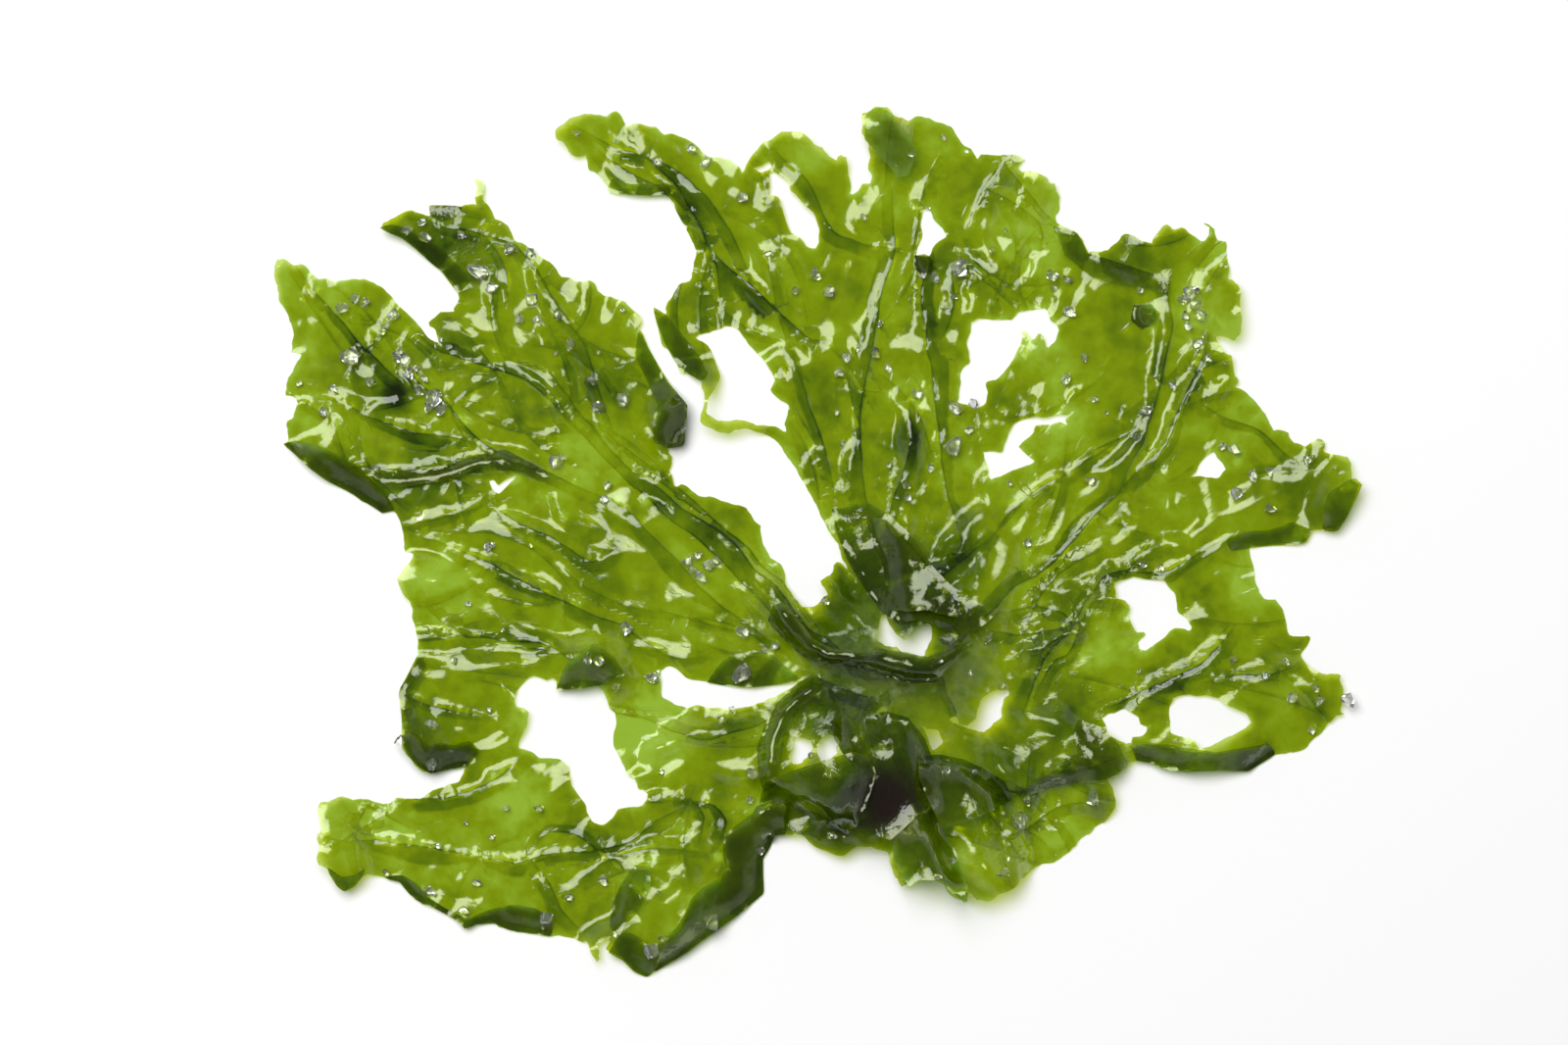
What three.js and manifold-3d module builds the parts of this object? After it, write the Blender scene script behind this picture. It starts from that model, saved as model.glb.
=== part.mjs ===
import * as THREE from "three";
import { mergeVertices } from "three/addons/utils/BufferGeometryUtils.js";
import Module from "manifold-3d";

// A frond of sea lettuce as picked: one thin blade, torn into lobes and holes, wrinkled, and folded
// over along parts of its margin. Millimetres, +Z up. The origin is under the middle of the blade,
// on the surface that it lies on.

// Driving dimensions
const frondWidth = 150; // from the tip of the left finger to the right tip
const filmThickness = 0.4; // one layer of film, with the water on it
const foldThickness = 0.35; // what each layer folded over it adds
const heapHeight = 6.5; // the folds heaped round the holdfast
const creaseWidth = 4.4; // half the width of a crease's foot
const creaseTaper = 1.5; // 1 is a plain roof, and more draws its sides in
const waveHeight = 1.5; // the slow waves of the blade
const wavePitch = 31; // from one wave to the next
const waveSlant = [0.35, -0.3]; // how far the two sets of waves run off the axes
const contactDepth = 0.75; // how much of the waves is pressed flat by the surface
const meshPitch = 3.6; // the facets of the film
const blockReach = { below: 5, above: 35 }; // of the blocks that cut the outlines

// Places are read from a straight-down view of the frond, in its pixels
const view = { left: 281, right: 1386, top: 111, bottom: 995.6 };
const scale = frondWidth / (view.right - view.left);
const middle = { x: (view.left + view.right) / 2, y: (view.top + view.bottom) / 2 };

function toPlane([x, y]) {
  return new THREE.Vector2((x - middle.x) * scale, (middle.y - y) * scale);
}

// The margin, clockwise in the view from the tip of the left finger
const upperLeftLobe = [
  [284, 265], [294, 265], [301, 272], [309, 270], [324, 286], [351, 287], [372, 286], [382, 289],
  [401, 305], [424, 330], [437, 347], [449, 352], [444, 334], [438, 329], [450, 320], [465, 319],
  [469, 304], [464, 289], [451, 275], [433, 260], [411, 242], [390, 233], [391, 228], [412, 218],
  [430, 217], [439, 221], [439, 211], [462, 210], [474, 209], [487, 209], [485, 202], [488, 194],
  [484, 183], [493, 185], [493, 205], [504, 224], [517, 230], [526, 247], [549, 260], [573, 282],
  [588, 288], [606, 289], [616, 302], [638, 308], [653, 324], [650, 338], [669, 371], [700, 414],
  [697, 453], [681, 456], [685, 466], [681, 480], [689, 496], [717, 507], [760, 518], [776, 536],
  [781, 557], [801, 583], [804, 601], [818, 619], [832, 618], [845, 607], [841, 591], [848, 587],
  [852, 574], [873, 590],
];
const rightLobeInnerEdge = [
  [862, 570], [840, 530], [815, 480], [798, 455], [777, 441], [742, 441], [715, 431], [719, 410],
  [716, 384], [701, 379], [691, 376], [687, 361], [676, 345], [668, 315], [673, 325], [681, 320],
  [683, 307], [693, 291], [704, 287], [710, 260], [704, 239], [704, 230], [683, 200], [671, 198],
  [622, 194], [610, 176], [600, 170], [598, 158], [589, 160], [576, 146], [566, 137], [575, 126],
];
const upperMargin = [
  [601, 117], [618, 120], [631, 114], [638, 130], [669, 130], [696, 141], [715, 155], [735, 160],
  [757, 178], [766, 161], [779, 144], [798, 136], [817, 135], [839, 152], [853, 164], [864, 160],
  [868, 190], [867, 199], [876, 195], [888, 188], [886, 171], [887, 148], [879, 136], [880, 119],
  [899, 111], [911, 119], [927, 123], [935, 118], [971, 131], [982, 147], [998, 163], [1007, 156],
  [1046, 163], [1037, 170], [1042, 179], [1057, 177], [1069, 189], [1078, 194], [1080, 215],
  [1080, 227], [1097, 237], [1110, 260], [1131, 255], [1150, 239], [1177, 250], [1186, 232],
  [1205, 233], [1230, 246], [1234, 233], [1227, 228],
];
const rightMargin = [
  [1240, 233], [1241, 244], [1250, 254], [1252, 285], [1262, 292], [1265, 340], [1258, 348],
  [1239, 345], [1255, 365], [1263, 387], [1259, 395], [1275, 403], [1299, 440], [1314, 442],
  [1331, 456], [1346, 448], [1352, 463], [1374, 466], [1379, 489], [1386, 495], [1371, 528],
  [1362, 541], [1327, 542], [1331, 552], [1277, 557], [1284, 606], [1301, 612], [1314, 647],
  [1334, 647], [1326, 667], [1346, 688], [1367, 688], [1370, 728], [1333, 763], [1300, 770],
  [1279, 781], [1264, 785], [1210, 785], [1185, 782], [1166, 774], [1150, 779], [1129, 792],
];
const lowerMargin = [
  [1135, 804], [1138, 818], [1129, 835], [1114, 847], [1080, 876], [1059, 883], [1034, 904],
  [1004, 918], [987, 908], [985, 920], [963, 903], [960, 895], [926, 904], [912, 885], [908, 869],
  [890, 861], [871, 863], [860, 873], [842, 866], [819, 854], [796, 848], [784, 864], [777, 875],
  [778, 910], [742, 939], [702, 968], [660, 995.6], [642, 984], [619, 966], [624, 959], [613, 967],
  [613, 977], [603, 960], [585, 957], [534, 950], [505, 940], [476, 946], [443, 924], [409, 898],
  [374, 891], [353, 907], [337, 885], [326, 880], [329, 843], [324, 828], [330, 817], [349, 812],
  [370, 817], [399, 821], [405, 816], [430, 815], [470, 799],
];
const lowerLeftEdge = [
  [474, 781], [441, 787], [429, 782], [410, 759], [411, 740], [407, 709], [428, 671], [428, 655],
  [419, 613], [406, 590], [421, 563], [412, 543], [403, 521], [391, 522], [336, 490], [291, 453],
  [295, 443], [293, 433], [304, 410], [291, 402], [295, 386], [308, 361], [296, 360], [300, 342],
  [294, 320], [284, 300], [281, 280],
];
const margin = [
  ...upperLeftLobe, ...rightLobeInnerEdge, ...upperMargin, ...rightMargin, ...lowerMargin,
  ...lowerLeftEdge,
];

// Torn holes
const leftTear = [
  [526, 709], [538, 692], [569, 694], [574, 703], [610, 698], [621, 722], [629, 740], [626, 760],
  [637, 780], [651, 805], [661, 810], [654, 823], [631, 827], [612, 842], [599, 831], [590, 812],
  [580, 782], [569, 774], [529, 763], [540, 727],
];
const crescentTear = [
  [674, 684], [681, 678], [701, 691], [750, 699], [814, 693], [781, 716], [742, 724], [701, 723],
  [675, 711],
];
const ribbonTear = [
  [711, 344], [735, 336], [751, 333], [792, 387], [787, 398], [806, 414], [803, 441], [772, 435],
  [721, 422], [727, 401], [736, 385], [723, 352],
];
const topTear = [
  [785, 178], [807, 187], [823, 210], [837, 233], [831, 254], [804, 233], [794, 203], [783, 199],
];
const upperTear = [[941, 215], [950, 218], [966, 241], [949, 261], [936, 252]];
const windowTear = [
  [990, 328], [1032, 325], [1065, 313], [1080, 337], [1070, 355], [1060, 340], [1047, 339],
  [1034, 368], [1006, 392], [997, 416], [977, 410], [980, 380], [988, 358],
];
const slitTear = [
  [1004, 461], [1024, 460], [1034, 433], [1055, 424], [1096, 419], [1088, 432], [1057, 435],
  [1040, 456], [1056, 471], [1011, 490],
];
const rightTear = [[1215, 486], [1223, 474], [1239, 461], [1250, 478], [1243, 487]];
const wideTear = [
  [1137, 594], [1156, 587], [1189, 591], [1201, 623], [1216, 640], [1197, 641], [1170, 664],
  [1161, 655], [1149, 627], [1150, 613], [1136, 610],
];
const smallTear = [[1124, 732], [1147, 722], [1170, 743], [1156, 755], [1130, 748]];
const rimTear = [
  [1196, 711], [1243, 711], [1276, 737], [1223, 763], [1217, 754], [1193, 745],
];
const stemTear = [[1000, 713], [1030, 702], [1022, 730], [1004, 747], [969, 736], [990, 734]];
const heartTear = [
  [900, 627], [907, 627], [922, 652], [932, 641], [947, 635], [946, 663], [926, 667], [893, 650],
];
const leafyTear = [[841, 749], [856, 753], [850, 771], [837, 775]];
const foldTear = [[809, 751], [830, 757], [824, 775], [808, 780]];
const tears = [
  leftTear, crescentTear, ribbonTear, topTear, upperTear, windowTear, slitTear, rightTear,
  wideTear, smallTear, rimTear, stemTear, heartTear, leafyTear, foldTear,
];

// Where the blade stands clear of the surface: middle, reach in pixels, height
const swells = [
  { at: [930, 700], reach: 105, height: heapHeight },
  { at: [850, 800], reach: 75, height: 3.6 },
  { at: [965, 815], reach: 65, height: 3.6 },
  { at: [845, 590], reach: 35, height: 2.5 },
  { at: [740, 415], reach: 50, height: 2.6 },
  { at: [695, 425], reach: 35, height: 2.8 },
  { at: [1262, 300], reach: 50, height: 4.6 },
  { at: [1375, 505], reach: 40, height: 4.0 },
  { at: [1362, 705], reach: 42, height: 3.2 },
  { at: [1230, 780], reach: 60, height: 3.4 },
  { at: [1135, 800], reach: 42, height: 3.4 },
  { at: [1005, 905], reach: 50, height: 3.6 },
  { at: [925, 890], reach: 32, height: 3.0 },
  { at: [700, 955], reach: 60, height: 3.4 },
  { at: [610, 965], reach: 30, height: 2.4 },
  { at: [345, 885], reach: 45, height: 3.2 },
  { at: [330, 820], reach: 35, height: 2.2 },
  { at: [430, 770], reach: 42, height: 2.8 },
  { at: [410, 585], reach: 35, height: 2.2 },
  { at: [310, 470], reach: 42, height: 2.8 },
  { at: [285, 275], reach: 38, height: 2.4 },
  { at: [395, 232], reach: 38, height: 2.8 },
  { at: [487, 195], reach: 28, height: 3.0 },
  { at: [585, 130], reach: 42, height: 2.8 },
  { at: [810, 140], reach: 35, height: 2.6 },
  { at: [900, 125], reach: 42, height: 3.2 },
  { at: [1065, 190], reach: 38, height: 2.8 },
  { at: [1045, 350], reach: 28, height: 3.0 },
  { at: [620, 680], reach: 35, height: 2.2 },
  { at: [530, 725], reach: 32, height: 2.2 },
];

// Creases run as ridges, most of them towards the holdfast: height and route
const creases = [
  {
    height: 3.2,
    route: [[568, 388], [640, 475], [700, 520], [740, 545], [790, 600], [870, 670], [930, 690]],
  },
  { height: 2.2, route: [[300, 271], [343, 320], [400, 380], [450, 408], [500, 455], [620, 508]] },
  { height: 2.2, route: [[432, 548], [500, 575], [560, 605], [640, 640], [690, 680]] },
  { height: 2.0, route: [[335, 465], [420, 480], [480, 470], [505, 457]] },
  { height: 1.9, route: [[440, 225], [525, 250], [572, 315], [600, 360], [640, 475]] },
  { height: 1.6, route: [[431, 345], [500, 375], [563, 412]] },
  { height: 1.7, route: [[505, 520], [600, 570], [700, 600], [780, 640]] },
  { height: 1.7, route: [[430, 620], [470, 650], [560, 660], [620, 690]] },
  { height: 2.2, route: [[650, 150], [715, 230], [780, 300], [850, 345], [878, 425], [905, 530]] },
  { height: 2.2, route: [[912, 200], [900, 300], [895, 350], [880, 425]] },
  { height: 2.0, route: [[945, 190], [940, 300], [950, 372], [965, 470], [985, 560], [1000, 620]] },
  { height: 1.7, route: [[790, 150], [850, 240], [912, 255]] },
  {
    height: 2.8,
    route: [[1080, 240], [1190, 290], [1193, 370], [1145, 498], [1080, 570], [1010, 625]],
  },
  { height: 2.0, route: [[1260, 400], [1210, 400], [1185, 450], [1145, 500]] },
  { height: 1.8, route: [[1320, 470], [1240, 425], [1200, 430], [1145, 500], [1050, 520]] },
  { height: 2.2, route: [[1330, 545], [1220, 565], [1150, 578], [1110, 605], [1055, 700]] },
  { height: 2.0, route: [[1320, 680], [1230, 670], [1160, 705], [1090, 720], [1010, 700]] },
  { height: 2.4, route: [[1155, 765], [1090, 785], [1040, 808], [980, 790]] },
  { height: 2.0, route: [[330, 850], [400, 860], [520, 878], [640, 860], [700, 820], [790, 770]] },
  { height: 1.8, route: [[480, 800], [560, 800], [620, 860], [650, 920]] },
  { height: 2.0, route: [[640, 725], [700, 760], [780, 745], [840, 705], [900, 690]] },
];

// Margins and pleats that are folded over the blade, and how many layers lie there on the first
const folds = [
  {
    layers: 1, // the second finger's lower edge
    edge: [
      [390, 233], [402, 229], [455, 254], [480, 284], [468, 300], [457, 283], [433, 260],
      [411, 242],
    ],
  },
  {
    layers: 1, // the turned-up corner of the left lobe
    edge: [[291, 453], [318, 452], [362, 478], [404, 520], [391, 522], [356, 500], [318, 477]],
  },
  { layers: 1, edge: [[345, 474], [420, 480], [480, 470], [505, 457], [496, 482], [430, 499]] },
  {
    layers: 2, // the left lobe's right edge and the dark patch at its end
    edge: [[655, 345], [700, 414], [697, 453], [670, 452], [672, 415], [655, 380], [642, 350]],
  },
  {
    layers: 1, // the left lobe's lower corner
    edge: [
      [407, 709], [428, 671], [434, 700], [428, 738], [445, 750], [487, 742], [478, 778],
      [441, 787], [429, 782], [410, 759],
    ],
  },
  { layers: 1, edge: [[577, 690], [600, 655], [625, 665], [642, 690], [614, 700]] },
  { layers: 1, edge: [[720, 694], [740, 672], [775, 662], [808, 690], [750, 699]] },
  {
    layers: 2, // the great fold above the holdfast
    edge: [
      [850, 520], [885, 515], [930, 550], [960, 590], [1010, 620], [1000, 645], [965, 660],
      [955, 640], [925, 625], [900, 622], [880, 600], [862, 560],
    ],
  },
  {
    layers: 3, // the left lobe's pleats where they run together
    edge: [
      [800, 640], [830, 640], [870, 660], [930, 676], [965, 670], [960, 690], [930, 697],
      [870, 690], [820, 668],
    ],
  },
  {
    layers: 2,
    edge: [[825, 700], [848, 712], [838, 738], [808, 748], [803, 790], [775, 800], [790, 735]],
  },
  {
    layers: 2, // the heap below the holdfast
    edge: [
      [870, 700], [940, 705], [965, 745], [1000, 770], [998, 805], [975, 845], [940, 830],
      [905, 852], [860, 850], [800, 830], [785, 805], [860, 780],
    ],
  },
  {
    layers: 1, // the lower lobe's right edge
    edge: [
      [739, 850], [773, 823], [800, 820], [798, 849], [777, 875], [778, 910], [742, 939],
      [702, 968], [667, 990], [673, 960], [693, 943], [706, 915], [742, 887],
    ],
  },
  { layers: 1, edge: [[640, 885], [668, 858], [699, 872], [662, 898], [646, 928], [626, 945]] },
  { layers: 1, edge: [[1060, 805], [1098, 770], [1112, 730], [1156, 768], [1129, 792]] },
  {
    layers: 1,
    edge: [[1160, 760], [1240, 763], [1292, 758], [1296, 771], [1264, 785], [1210, 785], [1172, 776]],
  },
  { layers: 1, edge: [[1350, 541], [1352, 500], [1379, 490], [1386, 495], [1362, 541]] },
  { layers: 1, edge: [[1082, 236], [1190, 284], [1190, 298], [1090, 262]] },
  {
    layers: 1, // the lower lobe's far edge
    edge: [
      [399, 896], [415, 893], [432, 912], [476, 932], [510, 922], [560, 925], [562, 953],
      [505, 940], [476, 946], [443, 924], [418, 910],
    ],
  },
  { layers: 1, edge: [[946, 824], [968, 875], [985, 904], [985, 920], [963, 903], [950, 880]] },
];

function distanceToRoute(x, y, route) {
  let nearest = Infinity;
  for (let i = 0; i + 1 < route.length; i += 1) {
    const a = toPlane(route[i]);
    const b = toPlane(route[i + 1]);
    const along = b.clone().sub(a);
    const share = ((x - a.x) * along.x + (y - a.y) * along.y) / along.lengthSq();
    const foot = a.addScaledVector(along, THREE.MathUtils.clamp(share, 0, 1));
    nearest = Math.min(nearest, Math.hypot(x - foot.x, y - foot.y));
  }
  return nearest;
}

function swellHeight(x, y) {
  let sum = 0;
  for (const swell of swells) {
    const centre = toPlane(swell.at);
    const away = Math.hypot(x - centre.x, y - centre.y) / (swell.reach * scale);
    sum += swell.height * Math.exp(-away * away);
  }
  return sum;
}

function creaseHeight(x, y) {
  let highest = 0;
  for (const crease of creases) {
    const away = distanceToRoute(x, y, crease.route) / creaseWidth;
    highest = Math.max(highest, crease.height * Math.max(0, 1 - away) ** creaseTaper);
  }
  return highest;
}

// The underside of the film: waves, creases and swells, pressed flat where they meet the surface
function filmHeight(x, y) {
  const turn = (2 * Math.PI) / wavePitch;
  const across = Math.sin(turn * (x + waveSlant[0] * y));
  const along = Math.sin(turn * (y + waveSlant[1] * x));
  const waves = waveHeight * across * along;
  return Math.max(0, waves + creaseHeight(x, y) + swellHeight(x, y) - contactDepth);
}

const manifold = await Module();
manifold.setup();

function toSolid(geometry) {
  geometry.deleteAttribute("normal");
  geometry.deleteAttribute("uv");
  const merged = mergeVertices(geometry, 1e-4);
  const triVerts = new Uint32Array(merged.index.array);
  const vertProperties = new Float32Array(merged.attributes.position.array);
  return new manifold.Manifold(new manifold.Mesh({ numProp: 3, vertProperties, triVerts }));
}

// The rim of a grid of points, clockwise from its first corner
function gridRim(columns, rows) {
  const rim = [];
  const last = (columns + 1) * (rows + 1) - 1;
  for (let i = 0; i < columns; i += 1) {
    rim.push(i);
  }
  for (let i = 0; i < rows; i += 1) {
    rim.push(columns + i * (columns + 1));
  }
  for (let i = 0; i < columns; i += 1) {
    rim.push(last - i);
  }
  for (let i = 0; i < rows; i += 1) {
    rim.push((rows - i) * (columns + 1));
  }
  return rim;
}

// A slab over the whole frond that follows the relief, between two heights above the underside
function reliefSlab(from, to) {
  const width = (view.right - view.left) * scale + 2 * meshPitch;
  const depth = (view.bottom - view.top) * scale + 2 * meshPitch;
  const columns = Math.round(width / meshPitch);
  const rows = Math.round(depth / meshPitch);
  const sheet = new THREE.PlaneGeometry(width, depth, columns, rows);
  const points = sheet.attributes.position;
  const under = points.count;
  const corners = [];
  for (const level of [to, from]) {
    for (let i = 0; i < under; i += 1) {
      const [x, y] = [points.getX(i), points.getY(i)];
      corners.push(x, y, filmHeight(x, y) + level);
    }
  }
  const faces = [];
  const { array } = sheet.index;
  for (let i = 0; i < array.length; i += 3) {
    const [a, b, c] = [array[i], array[i + 1], array[i + 2]];
    faces.push(a, b, c, a + under, c + under, b + under);
  }
  const rim = gridRim(columns, rows);
  rim.forEach((a, i) => {
    const b = rim[(i + 1) % rim.length];
    faces.push(a, b, b + under, a, b + under, a + under);
  });
  const slab = new THREE.BufferGeometry();
  slab.setAttribute("position", new THREE.Float32BufferAttribute(corners, 3));
  slab.setIndex(faces);
  return toSolid(slab);
}

// An upright block over an outline, tall enough to hold every fold. The outline is turned to run
// anticlockwise, and the extrusion then turns its holes the other way.
function outlineBlock(outline, holes = []) {
  const shape = new THREE.Shape(outline.map(toPlane).reverse());
  shape.holes = holes.map((hole) => new THREE.Path(hole.map(toPlane)));
  const depth = blockReach.below + blockReach.above;
  const block = new THREE.ExtrudeGeometry(shape, { depth, bevelEnabled: false });
  block.translate(0, 0, -blockReach.below);
  return toSolid(block);
}

// The folds start inside the film that they lie on, so that all of it joins in one solid
function foldedBlade() {
  let blade = reliefSlab(0, filmThickness);
  for (const layers of [1, 2, 3]) {
    const slab = reliefSlab(filmThickness / 2, filmThickness + layers * foldThickness);
    for (const fold of folds.filter((each) => each.layers === layers)) {
      blade = blade.add(slab.intersect(outlineBlock(fold.edge)));
    }
  }
  return blade.intersect(outlineBlock(margin, tears));
}

function toGeometry(solid) {
  const { vertProperties, triVerts } = solid.getMesh();
  const geometry = new THREE.BufferGeometry();
  geometry.setAttribute("position", new THREE.BufferAttribute(vertProperties, 3));
  geometry.setIndex(new THREE.BufferAttribute(triVerts, 1));
  return geometry;
}

const film = new THREE.MeshStandardMaterial({ color: 0x6f9110, roughness: 0.25, metalness: 0 });
const frond = new THREE.Mesh(toGeometry(foldedBlade()), film);
frond.name = "frond";

const seaLettuce = new THREE.Group();
seaLettuce.add(frond);

export default seaLettuce;
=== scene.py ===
import math

import bmesh
import bpy
import numpy as np
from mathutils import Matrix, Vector
from mathutils.bvhtree import BVHTree
from mathutils.geometry import delaunay_2d_cdt
from mathutils.kdtree import KDTree


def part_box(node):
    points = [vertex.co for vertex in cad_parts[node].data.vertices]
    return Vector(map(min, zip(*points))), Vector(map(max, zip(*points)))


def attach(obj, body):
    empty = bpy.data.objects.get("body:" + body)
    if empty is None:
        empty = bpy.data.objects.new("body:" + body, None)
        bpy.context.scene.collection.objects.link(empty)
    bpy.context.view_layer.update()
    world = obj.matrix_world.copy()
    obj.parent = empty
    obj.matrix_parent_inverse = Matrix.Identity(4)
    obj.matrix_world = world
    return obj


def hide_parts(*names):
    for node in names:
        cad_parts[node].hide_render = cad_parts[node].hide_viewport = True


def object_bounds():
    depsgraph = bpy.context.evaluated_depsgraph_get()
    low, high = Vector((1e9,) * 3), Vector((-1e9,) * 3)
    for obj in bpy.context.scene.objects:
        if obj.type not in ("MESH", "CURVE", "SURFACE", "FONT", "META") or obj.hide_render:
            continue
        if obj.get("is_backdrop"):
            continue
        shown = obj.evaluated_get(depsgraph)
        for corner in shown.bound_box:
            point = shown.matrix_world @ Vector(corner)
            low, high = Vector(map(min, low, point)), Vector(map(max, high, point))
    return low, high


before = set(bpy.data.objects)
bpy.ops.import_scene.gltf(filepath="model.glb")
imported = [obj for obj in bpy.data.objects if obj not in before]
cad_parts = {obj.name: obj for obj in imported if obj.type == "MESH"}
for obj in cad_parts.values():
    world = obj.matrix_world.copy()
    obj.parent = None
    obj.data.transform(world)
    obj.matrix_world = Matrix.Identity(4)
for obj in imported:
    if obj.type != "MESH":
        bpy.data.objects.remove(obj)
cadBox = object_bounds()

# A salted frond of sea lettuce on a pale table, seen from straight above.
# Shapes are worked out in millimetres and turned to metres when a mesh is made.
toMetres = 0.001

view = {  # places are read from a straight-down view, in its pixels
    "left": 281, "right": 1386, "top": 111, "bottom": 995.6,
    "imageWidth": 1600, "imageHeight": 1066, "cameraDistance": 0.9,
}
frondLow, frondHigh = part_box("frond")
pixelSize = (frondHigh[0] - frondLow[0]) / toMetres / (view["right"] - view["left"])


def toPlane(points):
    pixels = np.array(points, dtype=float)
    middle = np.array([(view["left"] + view["right"]) / 2, (view["top"] + view["bottom"]) / 2])
    return (pixels - middle) * [pixelSize, -pixelSize]


def newObject(name, data):
    made = bpy.data.objects.new(name, data)
    bpy.context.scene.collection.objects.link(made)
    return made


# margin of the blade, clockwise in the view from the tip of the left finger
leftFinger = [
    (284, 265), (291, 264), (297, 269), (301, 272), (309, 270), (313, 275), (324, 286), (335, 285),
    (340, 288), (351, 287), (372, 286), (382, 289), (393, 298), (412, 318), (424, 330), (433, 342),
    (437, 347), (449, 352), (448, 346), (446, 340), (444, 334), (439, 333), (438, 329), (442, 325),
    (450, 320), (465, 319), (463, 313), (469, 304), (468, 296), (464, 289), (457, 283), (451, 275),
    (443, 269), (433, 260), (424, 252), (411, 242), (401, 238), (390, 233),
]
secondFinger = [
    (391, 228), (397, 227), (405, 223), (412, 218), (420, 216), (430, 217), (439, 221), (439, 211),
    (448, 210), (462, 210), (469, 212), (474, 209), (487, 210), (487, 207), (485, 202), (488, 194),
    (484, 185), (485, 182), (493, 185), (495, 191), (493, 200), (493, 205), (498, 211), (504, 224),
    (511, 226), (517, 230), (521, 236), (526, 247), (535, 249), (543, 257), (549, 260), (558, 266),
    (566, 273), (573, 282), (588, 288), (599, 286), (606, 289), (611, 297), (616, 302), (627, 305),
    (638, 308), (644, 317), (653, 324), (655, 331), (650, 338), (655, 344), (661, 357), (669, 371),
    (681, 391), (700, 414), (699, 428), (697, 453), (688, 455),
]
lobeGap = [
    (681, 456), (682, 460), (685, 466), (684, 472), (681, 480), (685, 488), (689, 496), (695, 495),
    (707, 502), (717, 507), (733, 511), (750, 516), (760, 518), (765, 524), (771, 532), (776, 536),
    (775, 542), (781, 557), (786, 569), (796, 577), (801, 583), (801, 593), (804, 601), (810, 609),
    (818, 619), (823, 620), (832, 618), (839, 611), (845, 607), (842, 597), (841, 591), (848, 587),
    (850, 578), (852, 574), (856, 573), (864, 582), (873, 590), (868, 582), (862, 570), (858, 562),
    (850, 548), (840, 530), (833, 514), (823, 493), (815, 480), (806, 466), (798, 455), (788, 446),
    (777, 441), (761, 438), (750, 439), (742, 441), (733, 440), (721, 435), (715, 431), (717, 422),
    (719, 410), (718, 402), (716, 395), (716, 384), (711, 383), (705, 381), (701, 379), (695, 380),
    (691, 376), (690, 368), (687, 361), (678, 354), (676, 345), (670, 328), (668, 315),
]
upperFinger = [
    (673, 325), (678, 322), (681, 320), (680, 313), (683, 307), (688, 300), (693, 291), (704, 287),
    (706, 283), (708, 273), (710, 260), (709, 250), (704, 239), (700, 233), (704, 230), (698, 226),
    (692, 217), (688, 208), (683, 200), (671, 198), (658, 199), (642, 198), (633, 196), (622, 194),
    (620, 187), (616, 182), (610, 176), (601, 173), (600, 166), (598, 158), (589, 160), (583, 156),
    (576, 146), (569, 144), (566, 137), (567, 132), (575, 126), (588, 120), (601, 117), (611, 118),
    (618, 120), (627, 114), (631, 114), (634, 121), (638, 130), (648, 128), (658, 130), (669, 130),
    (673, 134), (676, 137), (686, 137), (696, 141), (708, 146), (715, 155), (723, 161), (735, 160),
    (744, 164), (752, 170), (757, 178),
]
upperMargin = [
    (762, 169), (766, 161), (774, 152), (779, 144), (784, 144), (791, 140), (798, 136), (808, 134),
    (817, 135), (823, 141), (831, 148), (839, 152), (842, 156), (847, 161), (853, 164), (854, 160),
    (859, 159), (862, 162), (864, 160), (866, 167), (865, 177), (868, 190), (867, 199), (872, 197),
    (876, 195), (880, 188), (888, 188), (890, 181), (886, 171), (888, 161), (886, 156), (887, 148),
    (883, 142), (879, 136), (881, 127), (880, 119), (888, 117), (894, 112), (899, 111), (907, 116),
    (911, 119), (920, 121), (927, 123), (935, 118), (949, 122), (971, 131), (973, 136), (982, 147),
    (991, 153), (995, 160), (998, 163), (999, 158), (1007, 156), (1017, 159), (1033, 157),
    (1041, 161), (1046, 163), (1037, 170), (1039, 174), (1042, 179), (1049, 175), (1057, 177),
    (1065, 182), (1068, 185), (1069, 189), (1076, 188), (1078, 194), (1081, 200), (1080, 215),
    (1076, 220), (1080, 227), (1088, 232), (1097, 237), (1103, 246), (1107, 254), (1110, 260),
    (1112, 257), (1118, 256), (1122, 258), (1131, 255), (1134, 252), (1141, 247), (1144, 242),
    (1150, 239), (1157, 241), (1164, 247), (1177, 250),
]
rightMargin = [
    (1176, 247), (1178, 244), (1182, 240), (1186, 232), (1191, 230), (1195, 233), (1196, 237),
    (1200, 236), (1205, 233), (1210, 236), (1218, 241), (1225, 246), (1230, 246), (1233, 240),
    (1234, 233), (1227, 228), (1233, 228), (1240, 233), (1240, 239), (1241, 244), (1249, 247),
    (1250, 254), (1251, 267), (1253, 277), (1252, 285), (1257, 285), (1262, 292), (1264, 302),
    (1264, 321), (1265, 340), (1258, 348), (1252, 345), (1241, 343), (1239, 345), (1245, 355),
    (1249, 361), (1255, 365), (1256, 376), (1259, 385), (1263, 387), (1259, 395), (1268, 397),
    (1275, 403), (1284, 416), (1292, 425), (1296, 435), (1299, 440), (1306, 439), (1314, 442),
    (1319, 452), (1324, 453), (1331, 456), (1341, 452), (1346, 448), (1350, 453), (1348, 460),
    (1352, 463), (1374, 466), (1377, 474), (1379, 489), (1386, 495), (1371, 528), (1362, 541),
]
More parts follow.
